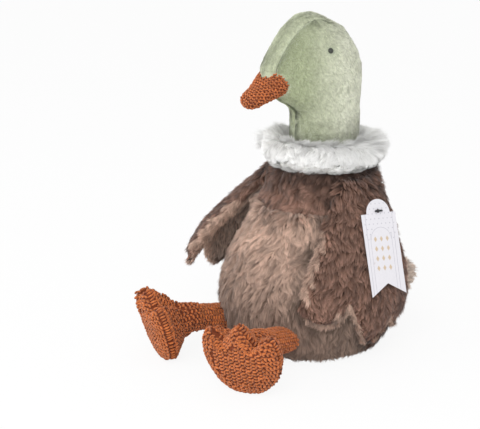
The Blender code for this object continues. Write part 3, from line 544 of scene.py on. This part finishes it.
def off_the_rim(shoulder):
    """At the hem it stands out from the wing and droops."""
    return lambda points, normals: unit(points - np.array(shoulder)) + np.array((0, 0, -0.4))


FRINGE_BELOW = 0.042
FRINGE_WIDTH = 0.006


def hem_skin(outer, lining, shoulder):
    """Where the hem's fringe grows: the lining's rim and a strip of the top beside it."""
    corners, normals = right_side(lining, rim_faces(lining))
    low = corners.mean(axis=1)[:, 2] < shoulder.z - FRINGE_BELOW
    rim = tree_of_points(corners.mean(axis=1)[low])
    more_corners, more_normals = right_side(outer, lambda c, n: rim.find(c)[2] < FRINGE_WIDTH)
    hem = corners.mean(axis=1)[low]
    corners = np.concatenate([corners[low], more_corners])
    return hem, (corners, np.concatenate([normals[low], more_normals]))


for side, seed in (("left", 30), ("right", 40)):
    wing = "wing_" + side
    outer_node, lining_node = wing + "_outer", wing + "_lining"
    shoulder = joint_place(wing + "_lift")
    outer = sewn_cover(
        wing + "_top_cloth", outer_node, BROWN_BACKING, wing
    ).data
    lining = sewn_cover(
        wing + "_under_cloth", lining_node, TAUPE_BACKING, wing
    ).data
    hem, fringe = hem_skin(outer, lining, shoulder)
    grow_pile(
        wing + "_top_pile", right_side(outer, facing_away(lining_node, least=0.15)), 43000, 0.0110,
        FUR_LIFT, FIBRE_WIDTH, ((0.005, 0.3), (0.0022, 0.6)), wing, BROWN_PILE,
        seed, lay=down_from(shoulder), swirl=everywhere(0.3), swirl_size=0.035,
        long=shorter_at(hem, 0.15, 0.016), painted_shade_and_tint=lighter_at(hem),
    )
    grow_pile(
        wing + "_under_pile", right_side(lining, facing_away(outer_node, least=0.15)), 18000,
        0.0085, (45, 8), FIBRE_WIDTH, ((0.005, 0.25), (0.0022, 0.6)), wing,
        LINING_PILE, seed + 4, lay=down_from(shoulder), swirl=everywhere(0.4), swirl_size=0.035,
    )
    grow_pile(
        wing + "_hem_pile", fringe, 16000, 0.0090, (52, 14), FIBRE_WIDTH,
        ((0.0030, 0.1), (0.0014, 0.35)), wing, TAUPE_PILE, seed + 7,
        lay=off_the_rim(shoulder), swirl=everywhere(0.3), spread=0.3,
    )

# Bill
# A knitted sleeve of thick rust yarn, stuffed firm, that widens where it is sewn to the face. Its
# stitches are plump bars in rows round the bill, with painted shade where the yarn goes under and
# a painted highlight on top of each bar.
def yarn_material(name, deep, bright, tip):
    material, nodes, links, shader = new_material(name, 0.85, 0.25)
    tree = material.node_tree
    stitch = nodes.new("ShaderNodeAttribute")
    stitch.attribute_name = "stitch"
    parts = nodes.new("ShaderNodeSeparateColor")
    links.new(stitch.outputs["Color"], parts.inputs[0])
    height = parts.outputs["Red"]
    # Painted shade low on each bump, where the yarn goes under, and a painted highlight on its top.
    risen = ranged(tree, height, 0.25, 0.72, 0.0, 1.0)
    colour = mixed(tree, "MIX", risen, (*deep, 1), (*bright, 1))
    colour = mixed(tree, "MIX", ranged(tree, height, 0.6, 1.0, 0.0, 1.0), colour, (*tip, 1))
    fibre = noise(tree, 1500, 4.0)
    by_fibre = sums(tree, "MULTIPLY_ADD", fibre, 0.8, 0.6)
    by_stitch = sums(tree, "MULTIPLY_ADD", parts.outputs["Green"], 0.5, 0.75)
    shades = sums(tree, "MULTIPLY", by_fibre, by_stitch)
    links.new(mixed(tree, "MULTIPLY", 1.0, colour, grey(tree, shades)), shader.inputs["Base Color"])
    bump = nodes.new("ShaderNodeBump")
    bump.inputs["Strength"].default_value = 0.6
    bump.inputs["Distance"].default_value = 0.0004
    links.new(fibre, bump.inputs["Height"])
    links.new(bump.outputs["Normal"], shader.inputs["Normal"])
    return material


# deep is painted shade where the yarn goes under, tip a painted highlight on top of each bump.
RUST_YARN = yarn_material(
    "rust yarn", (0.12, 0.022, 0.006), (0.335, 0.082, 0.020), (0.47, 0.14, 0.038)
)
# Rust like the yarn but darker, partly as painted shade in the gaps between stitches.
RUST_BACKING = backing_material("rust under yarn", (0.13, 0.03, 0.011), (0.22, 0.052, 0.018), 500)


def yarn_bump(middle, size, tilt):
    """A plump piece of yarn in a stitch one wide and one high."""
    bm = bmesh.new()
    bmesh.ops.create_uvsphere(bm, u_segments=8, v_segments=5, radius=0.5)
    bmesh.ops.scale(bm, vec=size, verts=bm.verts)
    bmesh.ops.rotate(bm, matrix=Matrix.Rotation(math.radians(tilt), 3, "Z"), verts=bm.verts)
    bmesh.ops.translate(bm, verts=bm.verts, vec=middle)
    bmesh.ops.triangulate(bm, faces=bm.faces)
    points = np.array([v.co for v in bm.verts])
    faces = np.array([[v.index for v in f.verts] for f in bm.faces])
    bm.free()
    return points, faces


# The bar of the stitch lies across, and the yarn climbs to the next row beside it.
BUMPS = (
    yarn_bump((0, 0, 0), (0.88, 0.70, 0.95), 8),
    yarn_bump((0.5, 0.45, -0.05), (0.46, 1.12, 0.9), -10),
)


def knit(name, places, wide, tall, thick, seed, body=None, floor_at=0.0003):
    """Stitches at places, each a point with its normal and the way up its column."""
    rng = np.random.default_rng(seed)
    points, faces, shade = [], [], []
    start = 0
    for place, normal, up in places:
        across = up.cross(normal).normalized()
        up = normal.cross(across).normalized()
        lean = Matrix.Rotation(rng.normal(0, 0.17), 3, normal)
        basis = np.array([lean @ across * wide, lean @ up * tall, normal * thick])
        for template, corners in BUMPS:
            size = rng.uniform(0.88, 1.14)
            lift = thick * rng.uniform(0.08, 0.24)
            made = (template * size) @ basis + np.array(place + normal * lift)
            made[:, 2] = np.maximum(made[:, 2], floor_at)
            # Height within the bump, which the yarn material turns into painted shade and highlight.
            height = template[:, 2] / 0.95 + 0.5
            tone = np.full(len(made), rng.random())
            points.append(made)
            faces.append(corners + start)
            shade.append(np.stack([height, tone, tone, np.ones(len(made))], axis=1))
            start += len(made)
    mesh = bpy.data.meshes.new(name)
    mesh.from_pydata(np.concatenate(points).tolist(), [], np.concatenate(faces).tolist())
    mesh.shade_smooth()
    made = mesh.color_attributes.new("stitch", "FLOAT_COLOR", "POINT")
    made.data.foreach_set("color", np.concatenate(shade).astype(np.float32).ravel())
    return add_piece(name, mesh, RUST_YARN, body)


def rows_round(rings, wide, tall, least=5):
    """Stitch places in rounds over a sleeve, which is given as rings of points."""
    rings = np.array([[tuple(p) for p in ring] for ring in rings])
    centres = rings.mean(axis=1)
    steps = np.linalg.norm(np.diff(rings, axis=0), axis=2).mean(axis=1)
    travelled = np.concatenate([[0], np.cumsum(steps)])
    places = []
    for row in range(int(travelled[-1] / tall) + 1):
        at = min(row * tall, travelled[-1] * 0.9999)
        k = min(int(np.searchsorted(travelled, at, side="right")) - 1, len(rings) - 2)
        share = (at - travelled[k]) / (travelled[k + 1] - travelled[k])
        ring = rings[k] * (1 - share) + rings[k + 1] * share
        centre = Vector(centres[k] * (1 - share) + centres[k + 1] * share)
        ways = rings[k + 1] - rings[k]
        around = np.concatenate([ring, ring[:1]])
        spans = np.concatenate([[0], np.cumsum(np.linalg.norm(np.diff(around, axis=0), axis=1))])
        count = max(round(spans[-1] / wide), least)
        for column in range(count):
            reach = spans[-1] * column / count
            i = min(int(np.searchsorted(spans, reach, side="right")) - 1, len(ring) - 1)
            part = (reach - spans[i]) / max(spans[i + 1] - spans[i], 1e-9)
            place = Vector(around[i] * (1 - part) + around[i + 1] * part)
            up = Vector(ways[i] * (1 - part) + ways[(i + 1) % len(ring)] * part).normalized()
            onward = Vector(around[i + 1] - around[i]).normalized()
            normal = onward.cross(up).normalized()
            if normal.dot(place - centre) < 0:
                normal = -normal
            places.append((place, normal, up))
    return places


def skin_from_rings(name, rings, first_pole=None):
    """A closed smooth skin through rings of as many points each."""
    bm = bmesh.new()
    loops = [[bm.verts.new(point) for point in ring] for ring in rings]
    for low, high in zip(loops, loops[1:]):
        for i in range(len(low)):
            bm.faces.new((low[i - 1], low[i], high[i], high[i - 1]))
    caps = [bm.faces.new(loops[0]), bm.faces.new(loops[-1])]
    made = bmesh.ops.poke(bm, faces=caps)["verts"]
    if first_pole is not None:
        made[0].co = first_pole
    bmesh.ops.recalc_face_normals(bm, faces=bm.faces)
    mesh = bpy.data.meshes.new(name)
    bm.to_mesh(mesh)
    bm.free()
    mesh.shade_smooth()
    return mesh


def knitted_cover(name, rings, body, fill, *nodes, first_pole=None):
    """The stuffed sleeve under its stitches, which stands for these CAD solids."""
    mesh = skin_from_rings(name, rings, first_pole)
    piece = add_piece(name, mesh, RUST_BACKING, body)
    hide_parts(*nodes)
    return piece


HEAD_TURN = math.radians(-12)
BILL_DROOP = math.radians(29)
ROOT_HIGHER, ROOT_WIDER = 0.0045, 0.0030
BILL_STITCH, BILL_ROW, BILL_YARN = 0.0034, 0.0026, 0.0022
face_way = Matrix.Rotation(HEAD_TURN, 3, "Z") @ Vector((0, -1, 0))
face_side = face_way.cross(Vector((0, 0, 1)))
bill_way = face_way * math.cos(BILL_DROOP) + Vector((0, 0, -math.sin(BILL_DROOP)))
bill_up = face_side.cross(bill_way).normalized()
bill_tree = skin_tree(frame["nodes"]["bill_cover"].data)
bill_points = np.array([v.co for v in frame["nodes"]["bill_cover"].data.vertices])
reach = bill_points @ np.array(bill_way)
bill_axis = Vector(bill_points[reach > np.percentile(reach, 60)].mean(axis=0))
along_axis = reach - bill_axis.dot(bill_way)
tip, sewn = along_axis.max() - 0.0004, np.percentile(along_axis, 12)
bill_rings = []
offs = np.full(40, 0.001)
for distance in np.linspace(tip, sewn - 0.006, 34):
    station = bill_axis + bill_way * distance
    flare = min(max((sewn + 0.016 - distance) / 0.018, 0.0), 1.0) ** 1.2
    ring = []
    for i, turn in enumerate(np.linspace(0, 2 * math.pi, len(offs), endpoint=False)):
        out = face_side * math.cos(turn) + bill_up * math.sin(turn)
        hit = bill_tree.ray_cast(station + out * 0.06, -out)
        if hit[0] and 0.0005 < (hit[0] - station).length < 0.03:
            offs[i] = (hit[0] - station).length
        wider = ROOT_HIGHER * max(out.dot(bill_up), 0) + ROOT_WIDER * abs(out.dot(face_side))
        ring.append(station + out * (offs[i] + flare * wider))
    bill_rings.append(ring)
bill_cloth = knitted_cover("bill_cloth", bill_rings, "head", 0.9, "bill_cover")
bill_skin = skin_tree(bill_cloth.data)
stitches = rows_round(bill_rings, BILL_STITCH, BILL_ROW)
knit("bill_knitting", stitches, BILL_STITCH, BILL_ROW, BILL_YARN, 70, "head")

# Head
# Short dense plush: a gusset from the bill over the crown to the nape, and a panel each side.
# The pile is brushed down and back, and clipped short round the eyes and where the bill is sewn.
GREEN_BACKING = backing_material("green backing", (0.40, 0.44, 0.31), (0.54, 0.57, 0.43))
CREAMS = ((0.57, 0.60, 0.46, 1), (0.71, 0.73, 0.58, 1), (0.80, 0.81, 0.68, 1))
SAGES = ((0.26, 0.30, 0.17, 1), (0.36, 0.405, 0.245, 1), (0.45, 0.49, 0.325, 1))
GUSSET_HALF_WIDTH = 0.013
neck = joint_place("neck_turn")
eye_centres = [np.array(sum(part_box(node), Vector()) / 2) for node in ("eye_left", "eye_right")]


def plush_material(name, sides):
    """Sage green that is strongest on the cheeks and fades to cream at the back of the head. The deeper green
    towards the front is partly painted shade, where the pile is brushed against its lie.
    """
    material, nodes, links, shader = new_material(name, 0.85, 0.3)
    tree = material.node_tree
    place = nodes.new("ShaderNodeTexCoord")
    forward = nodes.new("ShaderNodeVectorMath")
    forward.operation = "DOT_PRODUCT"
    links.new(place.outputs["Object"], forward.inputs[0])
    forward.inputs[1].default_value = face_way
    reach = sums(tree, "SUBTRACT", forward.outputs["Value"], neck.dot(face_way))
    wander = sums(tree, "MULTIPLY_ADD", noise(tree, 28, 2.0), 0.024, -0.012)
    green = ranged(tree, sums(tree, "ADD", reach, wander), -0.008, 0.044, 0.0, 1.0)
    green = sums(tree, "MULTIPLY", green, sides)
    group = nodes.new("ShaderNodeGroup")
    group.node_tree = PILE_SHADE
    for socket, cream, sage in zip(("Root", "Lock", "Tip"), CREAMS, SAGES):
        links.new(mixed(tree, "MIX", green, cream, sage), group.inputs[socket])
    group.inputs["Patch Scale"].default_value = 60
    group.inputs["Patch Depth"].default_value = 0.22
    group.inputs["Lock Depth"].default_value = 0.25
    links.new(group.outputs["Colour"], shader.inputs["Base Color"])
    return material


def clear_of_bill(points):
    """How far each point lies outside the bill, and less than nothing within it."""
    away = []
    for point in points:
        near, normal, _, reach = bill_skin.find_nearest(point)
        away.append(reach if (Vector(point) - near).dot(normal) > 0 else -reach)
    return np.array(away)


def from_eye(points):
    return np.min([np.linalg.norm(points - centre, axis=1) for centre in eye_centres], axis=0)


def plush_length(points):
    """Clipped round the eyes and the bill, and parted along the seams beside the gusset."""
    eye = np.clip((from_eye(points) - 0.0034) / 0.006, 0, 1)
    bill = np.clip((clear_of_bill(points) - 0.0015) / 0.004, 0, 1)
    seam = np.clip(gusset_seam(points) / 0.0025, 0, 1)
    return 0.12 + 0.88 * np.minimum(np.minimum(eye, bill), 0.5 + 0.5 * seam)


def gusset_seam(points):
    """How far each point lies from the nearer seam of the gusset, above the bill."""
    offset = points - np.array(neck)
    away = np.abs(np.abs(offset @ np.array(face_side)) - GUSSET_HALF_WIDTH)
    low = (offset @ np.array(face_way) > 0) & (offset[:, 2] < 0.071)
    return np.where(low, 0.1, away)


def plush_painted_shade(points):
    """Painted shade in the gusset's front seams, in the eyes' dimples and down in the collar."""
    seam = 0.35 * (1 - np.clip(gusset_seam(points) / 0.002, 0, 1))
    seam = seam * (0.7 + 0.4 * swells(points, 0.005, 5))
    front = np.clip((points - np.array(neck)) @ np.array(face_way) / 0.03, 0, 1)
    dimple = 0.5 * (1 - np.clip((from_eye(points) - 0.0025) / 0.0025, 0, 1))
    low = 0.4 * np.clip((neck.z + 0.045 - points[:, 2]) / 0.035, 0, 1)
    return np.maximum(seam, 0) * front + dimple + low


def brushed_back(points, normals):
    return np.tile(-np.array(face_way) * 0.6 + np.array((0, 0, -1.0)), (len(points), 1))


GUSSET_PLUSH = plush_material("gusset plush", 0.7)
CHEEK_PLUSH = plush_material("cheek plush", 1.0)
head_panels = (
    ("gusset", "head_gusset", GUSSET_PLUSH, 27000),
    ("left_cheek", "head_panel_left", CHEEK_PLUSH, 52000),
    ("right_cheek", "head_panel_right", CHEEK_PLUSH, 42000),
)
for seed, (word, node, pile, strands) in enumerate(head_panels):
    cover = sewn_cover(word + "_cloth", node, GREEN_BACKING, "head")
    grow_pile(
        word + "_plush", right_side(cover.data, facing_away("head_stuffing")), strands, 0.0032,
        (28, 8), 0.00036, ((0.0035, 0.15), (0.0013, 0.35)), "head", pile,
        50 + seed, lay=brushed_back, swirl=everywhere(0.45), swirl_size=0.02, curl=0.0003,
        long=plush_length, painted_shade_and_tint=plush_painted_shade, soft=0.5,
    )

# Collar
# A strip of long white fur sewn round the neck seam. It fans outwards, and its tips droop.
WHITE_BACKING = backing_material("white backing", (0.6, 0.61, 0.58), (0.74, 0.74, 0.71))
WHITE_PILE = pile_material(
    "white pile", (0.88, 0.88, 0.86), (0.95, 0.95, 0.935), (0.98, 0.98, 0.97), (60, 0.06), 0.05, 0.5
)


def outward_and_down(points, normals):
    away = points - np.array(neck)
    away[:, 2] = 0
    away = unit(away)
    away[:, 2] = -0.2
    return away


def ruff_length(points):
    """Full over the top and in a few tufts, and trimmed underneath."""
    top = np.clip((points[:, 2] - neck.z + 0.002) / 0.014, 0, 1)
    return (0.38 + 0.62 * top) * (1 + 0.35 * np.clip(swells(points, 0.035, 9), -0.6, 1.2))


collar = sewn_cover("collar_cloth", "neck_collar", WHITE_BACKING, "collar")
grow_pile(
    "collar_pile", right_side(collar.data, lambda centre, normal: True), 32000, 0.0155, (30, 6),
    0.00045, ((0.010, 0.3), (0.0035, 0.3)), "collar", WHITE_PILE, 60,
    lay=outward_and_down, swirl=everywhere(0.9), swirl_size=0.04, curl=0.002, levels=3,
    long=ruff_length, soft=0.5, spread=0.2,
)

# Eyes
# Small dark beads, pulled in by a thread so that each sits in a dimple of the plush.
bead, nodes, links, shader = new_material("eye bead", 0.2)
shader.inputs["Coat Weight"].default_value = 0.5
shader.inputs["Coat Roughness"].default_value = 0.1
cloud = noise(bead.node_tree, 500)
colour = mixed(bead.node_tree, "MIX", cloud, (0.014, 0.016, 0.013, 1), (0.055, 0.06, 0.048, 1))
links.new(colour, shader.inputs["Base Color"])


def finish_solid(node, material):
    """A solid that keeps its own shape gets the look of its material."""
    frame["nodes"][node].data.materials.clear()
    frame["nodes"][node].data.materials.append(material)


finish_solid("eye_left", bead)
finish_solid("eye_right", bead)

# Legs and feet
# A leg is a knitted tube, loosely stuffed, that is sewn into the body seam. A
# foot has a flat sole and an upper that runs like a funnel into the leg, joined round the webbed
# outline by a rolled edge of stitches. The sole faces forward, because the duck sits.
LEG_RADIUS = 0.0112
FOOT_LEAN = math.radians(16)
ANKLE_TO_MIDDLE = 0.030
KNIT_THICK = 0.0026
# How far apart the stitches of a row stand, and the rows.
LEG_STITCH, LEG_ROW = 0.0046, 0.0029
SOLE_STITCH, SOLE_ROW = 0.0052, 0.0034
UPPER_STITCH, UPPER_ROW = 0.0050, 0.0034
EDGE_STITCH = 0.0023
# The middle of the sole, up to this share of its outline, is knitted in straight rows.
STRAIGHT_ROWS = 0.70
# How far each hoop of the cuff has turned to the leg, its radius, and its place past the ankle.
CUFF_HOOPS = (
    (0.35, 0.0148, -0.0085), (0.7, 0.0131, -0.0035), (1.0, 0.0124, 0.001), (1.0, 0.0121, 0.006)
)


def ring_about(middle, a, b, wide, high, sides=32):
    turns = [2 * math.pi * i / sides for i in range(sides)]
    return [middle + a * (wide * math.cos(t)) + b * (high * math.sin(t)) for t in turns]


def sole_depth(share):
    """How far the sole swells at this share of the way from its middle to the edge."""
    return 0.003 + 0.008 * math.sqrt(max(1 - share**3, 0))


def upper_depth(share):
    return 0.003 + 0.023 * (1 - share**1.5)


for seed, word in ((80, "left"), (90, "right")):
    leg, foot = "leg_" + word, "foot_" + word
    hip, ankle = joint_place(f"hip_{word}_swing"), joint_place(f"ankle_{word}_tilt")
    side = Vector(joints[f"ankle_{word}_tilt"]["axis"]).normalized()
    up = Matrix.Rotation(FOOT_LEAN, 3, side) @ Vector((0, 0, 1))
    back = up.cross(side).normalized()
    along = (ankle - hip).normalized()
    square = along.cross(Vector((0, 0, 1))).normalized()
    rise = square.cross(along).normalized()
    span = (ankle - hip).length
    # The leg's tube, from inside the belly's pile to a round end within the foot's cuff.
    stations = [(-0.004, 1.0, 0.9), (0.004, 1.02, 1.0), (0.5 * span, 1.0, 1.0)]
    stations += [(0.85 * span, 0.98, 0.98), (span, 0.96, 0.96)]
    stations += [(span + 0.005, 0.84, 0.84), (span + 0.009, 0.5, 0.5)]
    rings = [
        ring_about(hip + along * at, square, rise, LEG_RADIUS * wide, LEG_RADIUS * high)
        for at, wide, high in stations
    ]
    tube = knitted_cover(leg + "_cloth", rings, None, 0.7, leg + "_cover")
    places = rows_round(rings[:6], LEG_STITCH, LEG_ROW)
    knitting = knit(leg + "_knitting", places, 0.0050, 0.0036, KNIT_THICK, seed)
    for piece in (tube, knitting):
        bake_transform(piece)

    # The outline is read from the panels where they meet, and both faces swell from it.
    middle = ankle - back * ANKLE_TO_MIDDLE + up * 0.0031
    panels = skin_tree(frame["nodes"][foot + "_sole"].data, frame["nodes"][foot + "_upper"].data)
    outline = []
    for turn in np.linspace(0, 2 * math.pi, 96, endpoint=False):
        out = side * math.cos(turn) + up * math.sin(turn)
        hit = panels.ray_cast(middle + back * 0.0012 + out * 0.08, -out)
        outline.append(hit[0] - back * (hit[0] - middle).dot(back) - middle)
    sole = [
        [middle + spoke * s - back * sole_depth(s) for spoke in outline]
        for s in (0.06, 0.16, 0.27, 0.38, 0.49, 0.6, 0.7, 0.78, 0.85, 0.91, 0.96, 0.99)
    ]
    edge = [middle + spoke for spoke in outline]
    upper = [
        [middle + spoke * s + back * upper_depth(s) for spoke in outline]
        for s in (0.99, 0.95, 0.90, 0.84, 0.77, 0.70, 0.62, 0.55)
    ]
    cuff = []
    for share, radius, at in CUFF_HOOPS:
        facing = (back * (1 - share) - along * share).normalized()
        b = facing.cross(side).normalized()
        a = b.cross(facing).normalized()
        centre = ankle + facing * at
        outs = [spoke.normalized() for spoke in outline]
        cuff.append([centre + (a * out.dot(side) + b * -out.dot(up)) * radius for out in outs])
    for ring in cuff:
        if (ring[0] - ring[len(ring) // 2]).dot(side) < 0:
            ring.reverse()
        if (ring[len(ring) // 4] - ring[3 * len(ring) // 4]).dot(up) < 0:
            ring[1:] = ring[1:][::-1]
    cover = knitted_cover(
        foot + "_cloth", sole + [edge] + upper + cuff, foot, 0.7, foot + "_sole", foot + "_upper",
        first_pole=middle - back * 0.011,
    )
    tree = skin_tree(cover.data)
    turns = np.linspace(0, 2 * math.pi, len(outline), endpoint=False)
    spans = np.array([spoke.length for spoke in outline])
    places = []
    for row in range(-14, 15):
        for column in range(-10, 11):
            x, z = column * SOLE_STITCH, row * SOLE_ROW
            turn = math.atan2(z, x) % (2 * math.pi)
            share = math.hypot(x, z) / np.interp(turn, turns, spans, period=2 * math.pi)
            if share < STRAIGHT_ROWS:
                place = middle + side * x + up * z - back * sole_depth(share)
                near, normal = tree.find_nearest(place)[:2]
                places.append((near, normal if normal.dot(near - middle) > 0 else -normal, up))
    places += rows_round(sole[:5:-1], LEG_STITCH, LEG_ROW)
    knit(foot + "_sole_knitting", places, SOLE_STITCH, SOLE_ROW, KNIT_THICK, seed + 1, foot)
    places = rows_round((upper + cuff)[::-1], UPPER_STITCH, UPPER_ROW)
    knit(foot + "_upper_knitting", places, UPPER_STITCH, UPPER_ROW, KNIT_THICK, seed + 2, foot)
    travelled, places = 0.0, []
    for here, there in zip(edge, edge[1:] + edge[:1]):
        travelled += (there - here).length
        if travelled >= EDGE_STITCH:
            travelled = 0.0
            onward = (there - here).normalized()
            out = back.cross(onward)
            out = out if out.dot(here - middle) > 0 else -out
            places.append((here - out * 0.0010, out, onward))
    knit(foot + "_rolled_edge", places, 0.0080, 0.0030, 0.0044, seed + 3, foot)

# Filling
# Loose polyester fibre in every soft part, and a cloth bag of pellets in the base.
fibre, nodes, links, shader = new_material("filling fibre", 1.0)
strand_noise = noise(fibre.node_tree, 260, 8.0)
colour = mixed(fibre.node_tree, "MIX", strand_noise, (0.62, 0.62, 0.6, 1), (0.9, 0.9, 0.89, 1))
links.new(colour, shader.inputs["Base Color"])
bump = nodes.new("ShaderNodeBump")
bump.inputs["Distance"].default_value = 0.001
links.new(strand_noise, bump.inputs["Height"])
links.new(bump.outputs["Normal"], shader.inputs["Normal"])
BAG_CLOTH = backing_material("pellet bag cloth", (0.5, 0.48, 0.43), (0.72, 0.7, 0.65), 700)
for body, members in frame["record"]["behaviour"]["bodies"].items():
    for node in members:
        if node.endswith("_stuffing"):
            filling = node.replace("_stuffing", "_filling")
            sewn_cover(filling, node, fibre, body)
sewn_cover("pellet_sack", "pellet_bag", BAG_CLOTH, "torso")

# Hang tag
# A punched card with a domed top and a notched foot, printed with grey dots, a thin border and
# small gold diamonds, and held to the wing by a fine plastic pin.
tag_hole = joint_place("tag_swing")
tag_out = Vector(joints["tag_swing"]["axis"]).normalized()
tag_points = np.array([v.co for v in frame["nodes"]["hang_tag"].data.vertices])
tag_down = Vector(tag_points.mean(axis=0)) - tag_hole
tag_down = (tag_down - tag_out * tag_down.dot(tag_out)).normalized()
tag_across = tag_out.cross(tag_down).normalized()
card, nodes, links, shader = new_material("printed card", 0.55)
tree = card.node_tree
place = nodes.new("ShaderNodeTexCoord")


def along_card(direction):
    node = nodes.new("ShaderNodeVectorMath")
    node.operation = "DOT_PRODUCT"
    links.new(place.outputs["Object"], node.inputs[0])
    node.inputs[1].default_value = direction
    return sums(tree, "SUBTRACT", node.outputs["Value"], tag_hole.dot(direction))


def both(*masks):
    made = masks[0]
    for mask in masks[1:]:
        made = sums(tree, "MULTIPLY", made, mask)
    return made


def in_repeat(value, gap):
    """The place within a repeat of this gap, from its middle."""
    return sums(tree, "SUBTRACT", sums(tree, "FLOORED_MODULO", value, gap), gap / 2)


def from_middle(x, y):
    squares = sums(tree, "ADD", sums(tree, "MULTIPLY", x, x), sums(tree, "MULTIPLY", y, y))
    return sums(tree, "SQRT", squares)


DOT_GAP, DOT_RADIUS = 0.0046, 0.00055
ARCH_DOWN, ARCH_RADIUS = 0.026, 0.0112
GEM_DOWN, GEM_ACROSS = 0.0088, 0.0066
across, down = along_card(tag_across), along_card(tag_down)
edge = sums(tree, "ABSOLUTE", across)
border = sums(tree, "COMPARE", edge, 0.0150, 0.00022)
inner_border = sums(tree, "COMPARE", edge, 0.0118, 0.00018)
border = sums(tree, "MAXIMUM", border, both(inner_border, sums(tree, "GREATER_THAN", down, 0.020)))
row = sums(tree, "FLOOR", sums(tree, "DIVIDE", down, DOT_GAP))
shifted = sums(tree, "ADD", across, sums(tree, "MULTIPLY_ADD", row, DOT_GAP / 2, 0.0))
dots = from_middle(in_repeat(shifted, DOT_GAP), in_repeat(down, DOT_GAP))
dots = sums(tree, "LESS_THAN", dots, DOT_RADIUS)
arch = from_middle(across, sums(tree, "SUBTRACT", down, ARCH_DOWN))
above_arch = sums(tree, "LESS_THAN", down, ARCH_DOWN)
outside_arch = both(sums(tree, "GREATER_THAN", arch, ARCH_RADIUS + 0.0003), above_arch)
dots = both(dots, outside_arch, sums(tree, "LESS_THAN", edge, 0.0165))
arch_line = both(sums(tree, "COMPARE", arch, ARCH_RADIUS, 0.0002), above_arch)
grey_ink = sums(tree, "MAXIMUM", sums(tree, "MAXIMUM", dots, border), arch_line)
gem_y = sums(tree, "ABSOLUTE", in_repeat(sums(tree, "SUBTRACT", down, 0.021), GEM_DOWN))
gem_x = sums(tree, "ADD", across, GEM_ACROSS / 2)
gem_x = sums(tree, "MULTIPLY", sums(tree, "ABSOLUTE", in_repeat(gem_x, GEM_ACROSS)), 1.5)
gems = sums(tree, "LESS_THAN", sums(tree, "ADD", gem_x, gem_y), 0.0026)
gems = both(gems, sums(tree, "LESS_THAN", edge, 0.0095), sums(tree, "GREATER_THAN", down, 0.022))
gems = both(gems, sums(tree, "LESS_THAN", down, 0.056))
colour = mixed(tree, "MIX", noise(tree, 600), (0.68, 0.665, 0.70, 1), (0.75, 0.735, 0.77, 1))
colour = mixed(tree, "MIX", sums(tree, "MULTIPLY", grey_ink, 0.75), colour, (0.40, 0.39, 0.44, 1))
colour = mixed(tree, "MIX", sums(tree, "MULTIPLY", gems, 0.8), colour, (0.56, 0.41, 0.24, 1))
links.new(colour, shader.inputs["Base Color"])
pin, nodes, links, shader = new_material("pin plastic", 0.35)
cloud = noise(pin.node_tree, 900)
colour = mixed(pin.node_tree, "MIX", cloud, (0.02, 0.02, 0.022, 1), (0.05, 0.05, 0.054, 1))
links.new(colour, shader.inputs["Base Color"])
finish_solid("hang_tag", card)
finish_solid("tag_fastener", pin)

# Floor, lamps and camera
# A white paper sweep under an even pale sky, with one broad soft lamp over the camera's shoulder
# and a weaker one opposite. The paper is white to the camera and keeps the duck's soft shadow.
def seen_directly(tree):
    """One where the paper or the sky is seen, straight, in a reflection or through glass."""
    path = tree.nodes.new("ShaderNodeLightPath")
    mirrored = sums(tree, "ADD", path.outputs["Is Glossy Ray"], path.outputs["Is Transmission Ray"])
    return sums(tree, "ADD", path.outputs["Is Camera Ray"], mirrored)


paper, nodes, links, shader = new_material("white paper", 0.9)
tree = paper.node_tree
colour = mixed(tree, "MIX", noise(tree, 3.0), (0.87, 0.87, 0.87, 1), (0.9, 0.9, 0.9, 1))
links.new(colour, shader.inputs["Base Color"])
glow = nodes.new("ShaderNodeEmission")
blend = nodes.new("ShaderNodeMixShader")
links.new(sums(tree, "MULTIPLY", seen_directly(tree), 0.9), blend.inputs[0])
links.new(shader.outputs[0], blend.inputs[1])
links.new(glow.outputs[0], blend.inputs[2])
links.new(blend.outputs[0], nodes["Material Output"].inputs["Surface"])
bm = bmesh.new()
bmesh.ops.create_grid(bm, x_segments=1, y_segments=1, size=6)
bmesh.ops.translate(bm, verts=bm.verts, vec=(0, 0, -0.0002))
floor_mesh = bpy.data.meshes.new("floor")
bm.to_mesh(floor_mesh)
bm.free()
floor_mesh.materials.append(paper)
floor = bpy.data.objects.new("floor", floor_mesh)
bpy.context.scene.collection.objects.link(floor)

world = bpy.data.worlds.new("studio")
bpy.context.scene.world = world
world.use_nodes = True
nodes, links = world.node_tree.nodes, world.node_tree.links
nodes["Background"].inputs["Color"].default_value = (1, 1, 1, 1)
nodes["Background"].inputs["Strength"].default_value = 0.78
backdrop = nodes.new("ShaderNodeBackground")
backdrop.inputs["Color"].default_value = (1, 1, 1, 1)
blend = nodes.new("ShaderNodeMixShader")
links.new(seen_directly(world.node_tree), blend.inputs[0])
links.new(nodes["Background"].outputs[0], blend.inputs[1])
links.new(backdrop.outputs[0], blend.inputs[2])
links.new(blend.outputs[0], nodes["World Output"].inputs["Surface"])
middle = Vector((0, 0, 0.15))
lamps = (("key", Vector((1.0, -1.4, 1.3)), 1.1, 21), ("fill", Vector((-0.7, -1.6, 0.5)), 1.2, 10))
for name, place, size, watts in lamps:
    lamp = bpy.data.lights.new(name, "AREA")
    lamp.size = size
    lamp.energy = watts
    holder = bpy.data.objects.new(name, lamp)
    bpy.context.scene.collection.objects.link(holder)
    holder.location = place
    holder.rotation_euler = (middle - place).to_track_quat("-Z", "Y").to_euler()

lens = bpy.data.cameras.new("camera")
lens.lens = 103.27
lens.sensor_width = 36
camera = bpy.data.objects.new("camera", lens)
bpy.context.scene.collection.objects.link(camera)
camera.location = (0.8839, -0.8839, 0.4849)
camera.rotation_euler = (math.radians(73.835), 0, math.radians(48.098))
bpy.context.scene.camera = camera
bpy.context.scene.view_settings.view_transform = "Standard"
